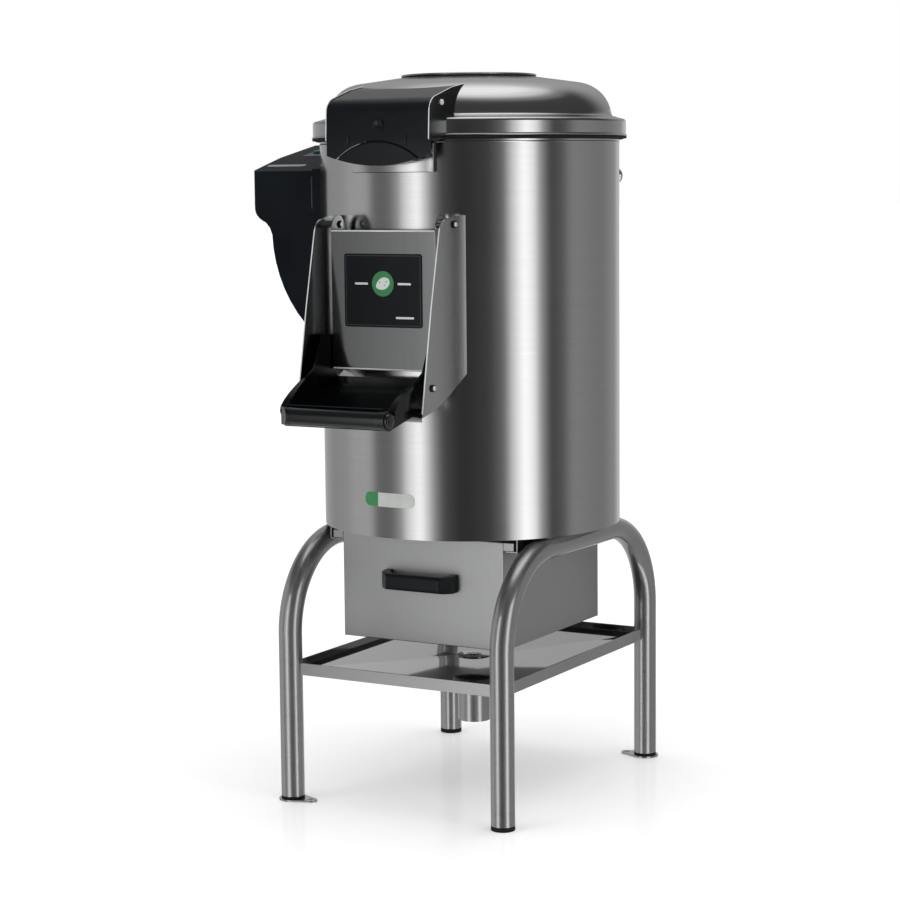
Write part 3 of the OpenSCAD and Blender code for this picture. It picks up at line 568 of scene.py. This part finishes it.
def screwHead(bm, radius, height, place):
    old = set(bm.faces)
    rings = []
    for sides, across, up in screwRings:
        last = len(rings) == len(screwRings) - 1
        made = bmesh.ops.create_circle(bm, segments=sides, radius=radius * across, cap_ends=last)
        bmesh.ops.translate(bm, verts=made["verts"], vec=(0, 0, height * up))
        rings.append(made["verts"])
    for low, high in zip(rings, rings[1:]):
        edges = [e for e in bm.edges if any(all(v in ring for v in e.verts) for ring in (low, high))]
        bmesh.ops.bridge_loops(bm, edges=edges)
    faces = [f for f in bm.faces if f not in old]
    facesOut(bm, faces, (0, 0, 0))
    placeFaces(bm, faces, place)


# Soft copies: a CAD node's mesh, merged, with its hard edges rounded. A cut is (width, segments, foremost y,
# rearmost y) and rounds the hard edges between the two
softening = {"merge": 3e-6, "flat": 0.8, "hard": 38, "sharp": 30}


def softMesh(node, cuts):
    bm = bmesh.new()
    bm.from_mesh(nodes[node].data)
    bmesh.ops.remove_doubles(bm, verts=bm.verts, dist=softening["merge"])
    bmesh.ops.dissolve_limit(bm, angle_limit=math.radians(softening["flat"]), verts=bm.verts, edges=bm.edges)
    for width, segments, foremost, rearmost in cuts:
        hard = [e for e in bm.edges if len(e.link_faces) == 2
                and e.calc_face_angle(0) > math.radians(softening["hard"])
                and foremost < (e.verts[0].co.y + e.verts[1].co.y) / 2 < rearmost]
        if hard:
            roundEdges(bm, hard, width, segments, True)
    return bm


def softCopy(node, cuts):
    name = "soft" + "".join(word.capitalize() for word in node.split("_"))
    piece = finishPiece(name, softMesh(node, cuts), bodyOf[node], finishOf[node], (node,), softening["sharp"])
    piece.modifiers.new("weightedNormal", "WEIGHTED_NORMAL").keep_sharp = True


# Nodes whose hard edges are all rounded alike
edgeWidths = {
    "latch_cover": 0.0012, "tray_scoop": 0.0008, "tray_grip_bar": 0.0010, "grip_end_caps": 0.0006,
    "drawer_handle": 0.0018, "drawer_rails": 0.0005, "drain_pan": 0.0005, "control_housing": 0.0020,
    "housing_frame": 0.0022, "control_panel": 0.0003, "door_frame": 0.0005, "left_chute_cheek": 0.0006,
    "right_chute_cheek": 0.0006, "chute_tie": 0.0003, "hinge_brackets": 0.0008, "lid_hinge_leaf": 0.0008,
    "left_lid_cheek": 0.0005, "right_lid_cheek": 0.0005, "floor_flanges": 0.0006, "foot_plugs": 0.0008,
    "base_studs": 0.0005, "water_inlet": 0.0006, "cable_gland": 0.0006, "timer_knob": 0.0006,
    "start_button": 0.0005, "stop_button": 0.0005, "drawer_runners": 0.0005, "drain_pipe": 0.0003,
    "hinge_pin": 0.0006, "paddle_magnet": 0.0004, "lid_gasket": 0.0006,
}
# Nodes with a rounder front
frontCuts = {
    "door_panel": [(0.0020, 4, -math.inf, -0.2549), (0.0004, 1, -0.2525, math.inf)],
    "drawer_body": [(0.0016, 3, -math.inf, -0.1554), (0.0004, 1, -0.1535, math.inf)],
    "latch_paddle": [(0.0019, 2, -math.inf, -0.2679), (0.0004, 1, -0.2655, math.inf)],
}
for node, width in edgeWidths.items():
    softCopy(node, [(width, 2, -math.inf, math.inf)])
for node, cuts in frontCuts.items():
    softCopy(node, cuts)
print("edges softened:", len(edgeWidths) + len(frontCuts), "nodes")


# Drum: a rolled sheet with the discharge opening and a welded seam at the back

drumSheet = {"radius": 0.225, "wall": 0.0015, "bottom": 0.405, "top": 0.979, "steps": 180, "sharp": 40,
             "openingHalfWidth": 0.082, "openingBottom": 0.661, "openingTop": 0.844}


def makeDrum(sheet):
    bm = bmesh.new()
    low, high, half = sheet["openingBottom"], sheet["openingTop"], sheet["openingHalfWidth"]
    spun(bm, [(sheet["radius"], z) for z in (sheet["bottom"], low, high, sheet["top"])], sheet["steps"])
    facesOut(bm, bm.faces[:], (0, 0, (sheet["bottom"] + sheet["top"]) / 2))

    def frontFaces():
        middles = [(f, f.calc_center_median()) for f in bm.faces]
        return [f for f, middle in middles if middle.y < 0 and low < middle.z < high]

    for x in (-half, half):
        faces = frontFaces()
        edges, corners = {e for f in faces for e in f.edges}, {v for f in faces for v in f.verts}
        bmesh.ops.bisect_plane(bm, geom=[*faces, *edges, *corners], plane_co=(x, 0, 0), plane_no=(1, 0, 0))
    opening = [f for f in frontFaces() if abs(f.calc_center_median().x) < half]
    bmesh.ops.delete(bm, geom=opening, context="FACES")
    bmesh.ops.solidify(bm, geom=bm.faces[:], thickness=sheet["wall"])
    finishPiece("drumSheet", bm, "machine", "brushedSteel", ("drum_shell",), sheet["sharp"])


drumSeam = {"width": 0.003, "corner": 0.0014, "raise": 0.0003, "sunk": 0.0001, "bottom": 0.407, "top": 0.977}


def makeDrumSeam(seam):
    bm = bmesh.new()
    middle = (0, drumSheet["radius"] - seam["sunk"], (seam["bottom"] + seam["top"]) / 2)
    roundPlate(bm, seam["width"], seam["top"] - seam["bottom"], seam["corner"], seam["raise"] + seam["sunk"],
               Matrix.Translation(middle) @ turn(-90, "X"))
    finishPiece("drumSeam", bm, "machine", "satinSteel")


makeDrum(drumSheet)
makeDrumSeam(drumSeam)


# Lid: a pressed dome with a rolled rim, and the raised disc on it. Arcs are (radius, from, to, steps), and
# the close rows keep the rim's wall straight where it is shaded smooth

lidDome = {
    "wall": 0.0015, "steps": 180, "sharp": 40, "bottom": 0.984, "flangeIn": 0.217,
    "lipRadius": 0.237, "lipArc": (0.001, -90, 60, 5),
    "rimRadius": 0.235, "rimFoot": (0.0003, 0.0024), "lowRows": (0.0032, 0.0036, 0.0042),
    "highRows": (0.0060, 0.0054), "ledge": 1.0095, "ledgeArc": (0.005, 0, 80, 8), "ledgeEnd": (0.222, 0.0022),
    "hollow": (0.2185, 0.0075), "hollowArc": (0.0045, 285, 190, 6),
    "domeCentre": (0.160, 1.010), "domeArc": (0.054, 8, 81, 24), "top": 1.073, "topRadii": (0.101, 0.05, 0),
}


def makeLidDome(lid):
    rim, bottom, ledge = lid["rimRadius"], lid["bottom"], lid["ledge"]
    bead, corner = lid["lipArc"][0], lid["ledgeArc"][0]
    lip = lid["lipRadius"] - bead
    profile = [(lid["flangeIn"], bottom), (lip, bottom)]
    profile += arcPoints((lip, bottom + bead), *lid["lipArc"])
    profile += [(rim + lid["rimFoot"][0], bottom + lid["rimFoot"][1])]
    profile += [(rim, bottom + up) for up in lid["lowRows"]]
    profile += [(rim, ledge - down) for down in lid["highRows"]]
    profile += arcPoints((rim - corner, ledge - corner), *lid["ledgeArc"])
    profile += [(lid["ledgeEnd"][0], ledge + lid["ledgeEnd"][1])]
    profile += arcPoints((lid["hollow"][0], ledge + lid["hollow"][1]), *lid["hollowArc"])
    profile += arcPoints(lid["domeCentre"], *lid["domeArc"])
    profile += [(radius, lid["top"]) for radius in lid["topRadii"]]
    bm = bmesh.new()
    facesOut(bm, spun(bm, profile, lid["steps"]), (0, 0, ledge))
    bmesh.ops.solidify(bm, geom=bm.faces[:], thickness=lid["wall"])
    finishPiece("lidDome", bm, "lid", "brushedSteel", ("lid_shell",), lid["sharp"])


lidDisc = {"radius": 0.1015, "edge": 0.0016, "foot": 1.073, "middle": 1.0758, "overhang": 0.0034,
           "inner": 0.05, "steps": 144, "sharp": 40}


def makeLidDisc(disc):
    flat, edge, middle = disc["radius"] - disc["edge"], disc["edge"], disc["middle"]
    stem = flat - disc["overhang"]
    profile = [(0, disc["foot"]), (stem, disc["foot"]), (stem, middle - edge)]
    profile += arcPoints((flat, middle), edge, -90, 90, 10)
    profile += [(disc["inner"], middle + edge), (0, middle + edge)]
    bm = bmesh.new()
    facesOut(bm, spun(bm, profile, disc["steps"]), (0, 0, middle))
    finishPiece("lidDisc", bm, "lid", "brushedSteel", ("lid_disc",), disc["sharp"])


# Narrow rings: a black ring under the disc as painted shade in the gap there, the gasket's lip under the rim,
# and the drum's bright top edge
ringSteps = 180
narrowRings = {
    "discGap": {"body": "lid", "finish": "blackRubber", "profile": [
        (0.0950, 1.0730), (0.1004, 1.0730), (0.1009, 1.0735), (0.1009, 1.0748), (0.0998, 1.0753),
        (0.0950, 1.0753)]},
    "gasketLip": {"body": "lid", "finish": "blackRubber", "profile": [
        (0.2312, 0.9805), (0.2350, 0.9805), (0.2362, 0.9815), (0.2362, 0.9830), (0.2352, 0.9839),
        (0.2312, 0.9839)]},
    "drumLip": {"body": "machine", "finish": "polishedSteel", "profile": [
        (0.2249, 0.9744), (0.2254, 0.9746), (0.2257, 0.9754), (0.2254, 0.9762), (0.2249, 0.9764)]},
}


def makeRing(name, ring):
    bm = bmesh.new()
    spun(bm, ring["profile"] + ring["profile"][:1], ringSteps)
    bmesh.ops.recalc_face_normals(bm, faces=bm.faces)
    finishPiece(name, bm, ring["body"], ring["finish"])


makeLidDome(lidDome)
makeLidDisc(lidDisc)
for ringName, ring in narrowRings.items():
    makeRing(ringName, ring)
print("drum and lid made")


# Painted highlights on the cut edges of the sheet metal: on either side a narrow pale bead along points given
# as (y, z)
beadShape = {"proud": 0.0004, "deep": 0.0008, "sharp": 60}
highlightBeads = {
    "chuteEdgeHighlights": {"body": "machine", "side": 0.103, "wide": 0.0018, "points": [
        (-0.3250, 0.6005), (-0.3175, 0.6420), (-0.2980, 0.7434), (-0.2736, 0.8500), (-0.2725, 0.8529),
        (-0.2700, 0.8577), (-0.2666, 0.8617), (-0.2622, 0.8650), (-0.2573, 0.8667)]},
    "coverEdgeHighlights": {"body": "lid", "side": 0.0845, "wide": 0.0015, "points": [
        (-0.1610, 1.0582), (-0.2025, 1.0514), (-0.2497, 1.0380), (-0.2542, 1.0361), (-0.2582, 1.0333),
        (-0.2615, 1.0296), (-0.2639, 1.0253), (-0.2655, 1.0206), (-0.2660, 1.0180), (-0.2680, 0.9785)]},
}


def makeHighlightBead(name, bead):
    bm = bmesh.new()
    half, deep = bead["wide"] / 2, beadShape["deep"]
    section = [(-half, -deep), (-half, 0), (0, beadShape["proud"]), (half, 0), (half, -deep)]
    points = [Vector((0, y, z)) for y, z in bead["points"]]
    for side in (-1, 1):
        old = set(bm.faces)
        rows = []
        for i, point in enumerate(points):
            along = (points[min(i + 1, len(points) - 1)] - points[max(i - 1, 0)]).normalized()
            outward = Vector((0, -along.z, along.y)) if along.z > 0 else Vector((0, along.z, -along.y))
            places = [Vector((side * bead["side"] + across, point.y, point.z)) + outward * lift
                      for across, lift in section]
            rows.append([bm.verts.new(place) for place in places])
        for last, row in zip(rows, rows[1:]):
            for i in range(len(section)):
                j = (i + 1) % len(section)
                bm.faces.new((last[i], last[j], row[j], row[i]))
        bm.faces.new(rows[0])
        bm.faces.new(rows[-1])
        bmesh.ops.recalc_face_normals(bm, faces=[f for f in bm.faces if f not in old])
    finishPiece(name, bm, bead["body"], "paintedHighlight", (), beadShape["sharp"])


# The door's rolled hems, across its front face, in the pale finish that paints a highlight line on them
doorHemHighlights = {"front": -0.2551, "radius": 0.0011, "sides": 16, "edge": 0.0004, "length": 0.171,
            "heights": (0.6538, 0.8507)}


def makeDoorHemHighlights(hem):
    bm = bmesh.new()
    for z in hem["heights"]:
        place = Matrix.Translation((0, hem["front"], z)) @ turn(90, "Y")
        made = bmesh.ops.create_cone(bm, cap_ends=True, segments=hem["sides"], radius1=hem["radius"],
                                     radius2=hem["radius"], depth=hem["length"], matrix=place)
        edges = {e for v in made["verts"] for e in v.link_edges if len(e.link_faces) == 2}
        roundEdges(bm, squareEdges(edges), hem["edge"], 2)
    finishPiece("doorHemHighlights", bm, "door", "paintedHighlight")


for beadName, bead in highlightBeads.items():
    makeHighlightBead(beadName, bead)
makeDoorHemHighlights(doorHemHighlights)
print("edges and hems made")


# Latch cover: two bumps and a dimple on its front, and its screws

coverMarks = {
    "front": -0.268, "bumps": [(-0.0475, 0.979), (0.0465, 0.977)], "sunk": 0.0001,
    "bumpShape": (0.0046, 0.0145, 0.0022, 0.0024), "bumpEdge": 0.0016, "bumpClear": 0.001,
    "dimple": (0.003, 0.9995), "dimpleSteps": 32, "dimpleBehind": (0, 0, -0.01),
    "dimpleShape": [(0.0082, -0.0003), (0.0078, 0.0006), (0.0068, 0.0012), (0.0056, 0.0010), (0.0040, 0.0002),
                    (0, 0.0001)],
}


def makeCoverMarks(marks):
    bm = bmesh.new()
    front = marks["front"]
    x, z = marks["dimple"]
    faces = spun(bm, marks["dimpleShape"], marks["dimpleSteps"])
    facesOut(bm, faces, marks["dimpleBehind"])
    placeFaces(bm, faces, Matrix.Translation((x, front, z)) @ turn(90, "X"))
    for x, z in marks["bumps"]:
        place = Matrix.Translation((x, front + marks["sunk"], z)) @ turn(90, "X")
        faces = roundPlate(bm, *marks["bumpShape"], place)
        clear = front - marks["bumpClear"]
        edges = {e for f in faces for e in f.edges if all(v.co.y < clear for v in e.verts)}
        roundEdges(bm, list(edges), marks["bumpEdge"], 3)
    finishPiece("coverMarks", bm, "lid", "blackPlastic")


# A black strip round the paddle's back, put in the gap in the cover as painted shade so that the gap shows
# black
archShadeStrip = {"middle": 0.872, "inner": 0.1015, "outer": 0.1054, "front": -0.2650, "thickness": 0.0012,
            "halfAngle": 38, "steps": 36}


def makeArchShadeStrip(arch):
    bm = bmesh.new()
    start, inner, outer = math.radians(-arch["halfAngle"]), arch["inner"], arch["outer"]
    corners = [(inner, 0), (outer, 0), (outer, arch["thickness"]), (inner, arch["thickness"])]
    outline = [(r * math.sin(start), y, r * math.cos(start)) for r, y in corners]
    wound(bm, outline, (0, 1, 0), -2 * start, arch["steps"])
    bmesh.ops.translate(bm, verts=bm.verts, vec=(0, arch["front"], arch["middle"]))
    finishPiece("archShadeStrip", bm, "paddle", "blackRubber")


# Screws and washers stand on either side at (y, z), and face outward, or inward where a bush says so
screws = {
    "coverScrews": {"body": "lid", "side": 0.0855, "at": [(-0.2324, 1.030)], "radius": 0.0040,
                    "height": 0.0022},
    "chuteScrews": {"body": "machine", "side": 0.1068, "at": [(-0.2332, 0.8596), (-0.2976, 0.6342)],
                    "radius": 0.0030, "height": 0.0016},
}
washerShape = {"edge": 0.0004, "steps": 32}
washers = {
    "screwWashers": {"body": "machine", "side": 0.1038, "faces": 1, "inner": 0.0030, "outer": 0.0052,
                     "rise": 0.0031, "at": screws["chuteScrews"]["at"]},
    "earBushes": {"body": "door", "side": 0.0856, "faces": -1, "inner": 0.0031, "outer": 0.0056,
                  "rise": 0.0012, "at": screws["chuteScrews"]["at"][:1]},
}


def sidePlaces(piece, faces=1):
    return [Matrix.Translation((side * piece["side"], y, z)) @ turn(side * faces * 90, "Y")
            for y, z in piece["at"] for side in (-1, 1)]


def makeWashers(name, washer):
    bm = bmesh.new()
    inner, outer, rise, edge = washer["inner"], washer["outer"], washer["rise"], washerShape["edge"]
    profile = [(inner, 0), (outer, 0), (outer, rise - edge), (outer - edge, rise), (inner, rise), (inner, 0)]
    for place in sidePlaces(washer, washer["faces"]):
        faces = spun(bm, profile, washerShape["steps"])
        bmesh.ops.recalc_face_normals(bm, faces=faces)
        placeFaces(bm, faces, place)
    finishPiece(name, bm, washer["body"], "blackRubber")


# Screw heads in the pale finish, which paints a highlight on them
def makeScrews(name, screw):
    bm = bmesh.new()
    for place in sidePlaces(screw):
        screwHead(bm, screw["radius"], screw["height"], place)
    finishPiece(name, bm, screw["body"], "paintedHighlight")


makeCoverMarks(coverMarks)
makeArchShadeStrip(archShadeStrip)
for washerName, washer in washers.items():
    makeWashers(washerName, washer)
for screwName, screw in screws.items():
    makeScrews(screwName, screw)


# Door label: a dark plate with a fine frame, a green disc with a pale potato on it, and light bars

doorLabel = {
    "face": -0.2558, "middle": 0.7663, "width": 0.1286, "height": 0.1046, "corner": 0.004, "depth": 0.0008,
    "border": 0.005, "borderCorner": 0.003, "borderDepth": 0.0001, "line": 0.0008, "sunk": 0.00005,
    "discAt": (0.0, 0.776), "discRadius": 0.018, "discSides": 64, "discDepth": 0.0002,
    "potatoWidth": 0.024, "potatoHeight": 0.0165, "potatoLean": 24, "potatoSides": 48, "potatoLift": 0.00012,
    "potatoEnds": 0.5, "potatoFuller": 0.25,
    "eyes": [(-0.005, 0.002), (0.003, -0.002), (0.006, 0.003)], "eyeLift": 0.0003, "eyeLean": 30,
    "eyeShape": (0.0026, 0.0012, 0.00055, 0.00012),
    "bars": [(-0.0355, 0.776, 0.022), (0.0355, 0.776, 0.022), (0.036, 0.728, 0.030)],
    "barShape": (0.003, 0.0014, 0.00025),
}


def onDoor(x, z, lift=0.0):
    return Matrix.Translation((x, doorLabel["face"] - lift, z)) @ turn(90, "X")


def makeLabelPlate(label):
    bm = bmesh.new()
    roundPlate(bm, label["width"], label["height"], label["corner"], label["depth"],
               onDoor(0, label["middle"], -label["depth"]))
    finishPiece("labelPlate", bm, "door", "labelFoil", ("door_label_plate",))


def makeLabelFrame(label):
    bm = bmesh.new()
    width, height = label["width"] - label["border"], label["height"] - label["border"]
    faces = roundPlate(bm, width, height, label["borderCorner"], label["borderDepth"],
                       onDoor(0, label["middle"], -label["sunk"]))
    outer = min(faces, key=lambda f: (f.calc_center_median().y, -f.calc_area()))
    bmesh.ops.inset_region(bm, faces=[outer], thickness=label["line"])
    bmesh.ops.delete(bm, geom=[outer], context="FACES")
    finishPiece("labelFrame", bm, "door", "greyPrintAndHighlight")


def makeLabelDisc(label):
    bm = bmesh.new()
    bmesh.ops.create_circle(bm, cap_ends=True, segments=label["discSides"], radius=label["discRadius"])
    thicken(bm, bm.faces[:], label["discDepth"])
    bmesh.ops.recalc_face_normals(bm, faces=bm.faces)
    bmesh.ops.transform(bm, matrix=onDoor(*label["discAt"], -label["sunk"]), verts=bm.verts)
    finishPiece("labelDisc", bm, "door", "greenPrint")


# The potato is a circle whose one end is fuller, and the bars share its print
def makeLabelPotato(label):
    bm = bmesh.new()
    bmesh.ops.create_circle(bm, cap_ends=True, segments=label["potatoSides"], radius=0.5)
    for v in bm.verts:
        v.co.y *= 1 - label["potatoEnds"] * v.co.x * v.co.x + label["potatoFuller"] * v.co.x
    thicken(bm, bm.faces[:], label["discDepth"])
    bmesh.ops.recalc_face_normals(bm, faces=bm.faces)
    bmesh.ops.scale(bm, verts=bm.verts, vec=(label["potatoWidth"], label["potatoHeight"], 1))
    place = onDoor(*label["discAt"], label["potatoLift"]) @ turn(label["potatoLean"], "Z")
    bmesh.ops.transform(bm, matrix=place, verts=bm.verts)
    for x, z, length in label["bars"]:
        roundPlate(bm, length, *label["barShape"], onDoor(x, z, -label["sunk"]))
    finishPiece("labelPotato", bm, "door", "lightPrint")


def makeLabelEyes(label):
    bm = bmesh.new()
    x, z = label["discAt"]
    for across, up in label["eyes"]:
        place = onDoor(x + across, z + up, label["eyeLift"]) @ turn(label["eyeLean"], "Z")
        roundPlate(bm, *label["eyeShape"], place)
    finishPiece("labelEyes", bm, "door", "greenPrint")


for makePart in (makeLabelPlate, makeLabelFrame, makeLabelDisc, makeLabelPotato, makeLabelEyes):
    makePart(doorLabel)


# Plates bent round the drum, a little sunk in it: a badge low on it, and the lid's catch plate near its top

plateSunk = 0.0001
drumBadge = {"left": -0.058, "right": 0.029, "height": 0.0205, "middle": 0.461, "corner": 0.009,
             "thickness": 0.0006, "steps": 22}
catchPlate = {"left": -0.0655, "right": 0.0655, "height": 0.0405, "middle": 0.95375, "corner": 0.0012,
              "thickness": 0.0108, "steps": 24, "edge": 0.0007, "skin": 0.0005, "sharp": 30}


def bentPlate(bm, plate):
    width, steps = plate["right"] - plate["left"], plate["steps"]
    roundPlate(bm, width, plate["height"], plate["corner"], plate["thickness"], Matrix.Identity(4))
    for i in range(1, steps):
        bmesh.ops.bisect_plane(bm, geom=bm.verts[:] + bm.edges[:] + bm.faces[:],
                               plane_co=(-width / 2 + width * i / steps, 0, 0), plane_no=(1, 0, 0))
    middle = (plate["left"] + plate["right"]) / 2
    for v in bm.verts:
        reach = drumSheet["radius"] - plateSunk + v.co.z
        angle = (v.co.x + middle) / drumSheet["radius"]
        v.co = Vector((reach * math.sin(angle), -reach * math.cos(angle), plate["middle"] + v.co.y))


def makeDrumBadge(badge):
    bm = bmesh.new()
    bentPlate(bm, badge)
    finishPiece("drumBadge", bm, "machine", "badgePrint")


def makeCatchPlate(catch):
    bm = bmesh.new()
    bentPlate(bm, catch)
    reach = drumSheet["radius"] + catch["thickness"] - catch["skin"]
    outer = [e for e in bm.edges if all(Vector(v.co.xy).length > reach for v in e.verts)]
    roundEdges(bm, squareEdges(outer), catch["edge"], 2)
    finishPiece("catchPlate", bm, "machine", "brushedSteel", ("striker_plate",), catch["sharp"])


makeDrumBadge(drumBadge)
makeCatchPlate(catchPlate)
print("label and badge made")


# Control housing: a light strip on its front slope, and the marks round the knob and buttons

panelPlane = {"origin": (-0.017, 0.958), "slope": 11.09, "across": -0.268, "foil": 0.001}
frontSlope = {"origin": (-0.095, 0.937), "slope": 15.07}
housingStrip = {"across": -0.287, "up": 0.0315, "shape": (0.070, 0.011, 0.005, 0.0006), "sunk": 0.0001}


def onSlope(plane, x, y, lift):
    return (Matrix.Translation((x, *plane["origin"])) @ turn(plane["slope"], "X")
            @ Matrix.Translation((0, y, lift)))


def onPanel(x, y, lift):
    return onSlope(panelPlane, panelPlane["across"] + x, y, panelPlane["foil"] + lift)


def makeHousingStrip(strip):
    bm = bmesh.new()
    roundPlate(bm, *strip["shape"], onSlope(frontSlope, strip["across"], strip["up"], -strip["sunk"]))
    finishPiece("housingStrip", bm, "machine", "stripPrint")


# Upright ribs on the housing's front, beside the drum, as (x, bottom, top). Their grey, lighter than the
# housing, is a painted highlight along them
housingRibs = {"front": -0.095, "width": 0.0026, "cornerShare": 0.48, "proud": 0.0016, "sunk": 0.0002,
               "edge": 0.0011, "edgeShare": 0.9, "ribs": [(-0.2215, 0.880, 0.929), (-0.2145, 0.872, 0.929)]}


def makeHousingRibs(rib):
    bm = bmesh.new()
    width, proud = rib["width"], rib["proud"]
    outer = rib["front"] - proud * rib["edgeShare"]
    for x, low, high in rib["ribs"]:
        place = Matrix.Translation((x, rib["front"] + rib["sunk"], (low + high) / 2)) @ turn(90, "X")
        faces = roundPlate(bm, width, high - low, width * rib["cornerShare"], proud + rib["sunk"], place)
        edges = {e for f in faces for e in f.edges if all(v.co.y < outer for v in e.verts)}
        roundEdges(bm, list(edges), rib["edge"], 4)
    finishPiece("housingRibs", bm, "machine", "greyPrintAndHighlight")


# Digits round the knob, a step of degrees apart, and the signs for on and off as (text, x, y up the slope)
panelMarks = {"size": 0.0044, "depth": 0.0001, "knob": (0.0, 0.064), "ring": 0.0195, "digits": "012345",
              "step": 45, "signs": [("I", -0.013, 0.0205), ("O", 0.013, 0.0205)]}


def addLetter(bm, text, marks, x, y):
    curve = bpy.data.curves.new("letter", "FONT")
    curve.body = text
    curve.size = marks["size"]
    curve.extrude = marks["depth"]
    curve.align_x = "CENTER"
    curve.align_y = "CENTER"
    holder = bpy.data.objects.new("letter", curve)
    mesh = bpy.data.meshes.new_from_object(holder)
    mesh.transform(onPanel(x, y, marks["depth"]))
    bm.from_mesh(mesh)
    bpy.data.objects.remove(holder)
    bpy.data.curves.remove(curve)
    bpy.data.meshes.remove(mesh)


def makePanelMarks(marks):
    bm = bmesh.new()
    x, y = marks["knob"]
    for i, digit in enumerate(marks["digits"]):
        angle = math.radians(90 + i * marks["step"])
        addLetter(bm, digit, marks, x + marks["ring"] * math.cos(angle), y + marks["ring"] * math.sin(angle))
    for sign, x, y in marks["signs"]:
        addLetter(bm, sign, marks, x, y)
    finishPiece("panelMarks", bm, "machine", "lightPrint")


knobGrip = {
    "lift": 0.0003, "radius": 0.0110, "ribs": 24, "ribShape": (0.0012, 0.0014, 0.0005), "bottom": 0.0036,
    "top": 0.0072, "pointerShape": (0.0016, 0.0070, 0.0007, 0.0003), "pointerAt": (0, 0.0065, 0.0094),
}


def makeKnobGrip(grip):
    bm = bmesh.new()
    base = onPanel(*panelMarks["knob"], grip["lift"])
    reach = Matrix.Translation((grip["radius"], 0, grip["bottom"]))
    for i in range(grip["ribs"]):
        place = base @ turn(360 * i / grip["ribs"], "Z") @ reach
        roundPlate(bm, *grip["ribShape"], grip["top"] - grip["bottom"], place)
    finishPiece("knobGrip", bm, "timer", "blackPlastic")
    bm = bmesh.new()
    roundPlate(bm, *grip["pointerShape"], base @ Matrix.Translation(grip["pointerAt"]))
    finishPiece("knobPointer", bm, "timer", "lightPrint")


makeHousingStrip(housingStrip)
makeHousingRibs(housingRibs)
makePanelMarks(panelMarks)
makeKnobGrip(knobGrip)


# Water inlet: its outer thread, wound round the pipe. The flanks are shares of the pitch
inletThread = {"at": (0.130, 0.211, 0.925), "turns": 10, "steps": 24, "pitch": 0.0018, "root": 0.0131,
               "crest": 0.01365, "rootEnd": 0.86, "crestEnd": 0.56, "crestStart": 0.30}


def makeInletThread(thread):
    bm = bmesh.new()
    pitch, steps, turns = thread["pitch"], thread["steps"], thread["turns"]
    outline = [(thread["root"], 0), (thread["root"], pitch * thread["rootEnd"]),
               (thread["crest"], pitch * thread["crestEnd"]), (thread["crest"], pitch * thread["crestStart"])]
    points = [(r, 0, z) for r, z in outline]
    wound(bm, points, (0, 0, 1), 2 * math.pi * turns, steps * turns, pitch / steps)
    bmesh.ops.transform(bm, matrix=Matrix.Translation(thread["at"]) @ turn(-90, "X"), verts=bm.verts)
    finishPiece("inletThread", bm, "machine", "polishedSteel")


makeInletThread(inletThread)


# The pan's folded rim: a mat strip along each of its sides, lower and shorter than the side by the margins
panRim = {"thickness": 0.0006, "lower": 0.0006, "shorter": 0.001, "corner": 0.0008, "sunk": 0.0001}


def makePanRim(rim):
    bm = bmesh.new()
    low, high = (Vector(corner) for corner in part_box("drain_pan"))
    size = high - low
    for angle, length, across in zip((0, 90, 180, 270), (size.x, size.y) * 2, (size.y, size.x) * 2):
        place = Matrix.Translation((low + high) / 2) @ turn(angle, "Z")
        place = place @ Matrix.Translation((0, rim["sunk"] - across / 2, 0)) @ turn(90, "X")
        roundPlate(bm, length - rim["shorter"], size.z - rim["lower"], rim["corner"], rim["thickness"], place)
    finishPiece("panRim", bm, "machine", "matSteel")


makePanRim(panRim)


# Strainer over the pan's drain hole: a shallow cone cut into rings, with slots open between two of them

strainer = {"radius": 0.0255, "rings": (0.004, 0.008, 0.012), "slots": 10, "cellsPerSlot": 4,
            "open": (0.25, 0.75), "height": 0.1935, "cone": 0.0012, "thickness": 0.0012}
sectorSlack = 0.001


def inSector(part, angle, count):
    places = [v.co for v in part.verts] if hasattr(part, "verts") else [part.co]
    middle = sum(places, Vector()) / len(places)
    if middle.length < near:
        return True
    off = abs((math.atan2(middle.y, middle.x) - angle + math.pi) % (2 * math.pi) - math.pi)
    return off <= math.pi / count + sectorSlack


def cutRing(bm, radius, cells):
    shrink = math.cos(math.pi / cells)
    for i in range(cells):
        angle = 2 * math.pi * (i + 0.5) / cells
        way = Vector((math.cos(angle), math.sin(angle), 0))
        sector = [g for g in bm.faces[:] + bm.edges[:] + bm.verts[:] if inSector(g, angle, cells)]
        bmesh.ops.bisect_plane(bm, geom=sector, plane_co=way * radius * shrink, plane_no=way)


def makeStrainer(strain):
    bm = bmesh.new()
    slots, rings = strain["slots"], strain["rings"]
    cells = slots * strain["cellsPerSlot"]
    bmesh.ops.create_circle(bm, cap_ends=True, cap_tris=True, segments=cells, radius=strain["radius"])
    for radius in rings:
        cutRing(bm, radius, cells)
    start, end = strain["open"]
    opened = []
    for f in bm.faces:
        place = f.calc_center_median()
        share = math.atan2(place.y, place.x) / (2 * math.pi) * slots % 1
        if rings[0] < place.length < rings[-1] and start < share < end:
            opened.append(f)
    bmesh.ops.delete(bm, geom=opened, context="FACES")
    for v in bm.verts:
        v.co.z = strain["height"] + strain["cone"] * (1 - v.co.length / strain["radius"])
    facesOut(bm, bm.faces[:], (0, 0, 0))
    bmesh.ops.solidify(bm, geom=bm.faces[:], thickness=strain["thickness"])
    finishPiece("panStrainer", bm, "machine", "panSteel")


makeStrainer(strainer)
print("strainer and thread made")
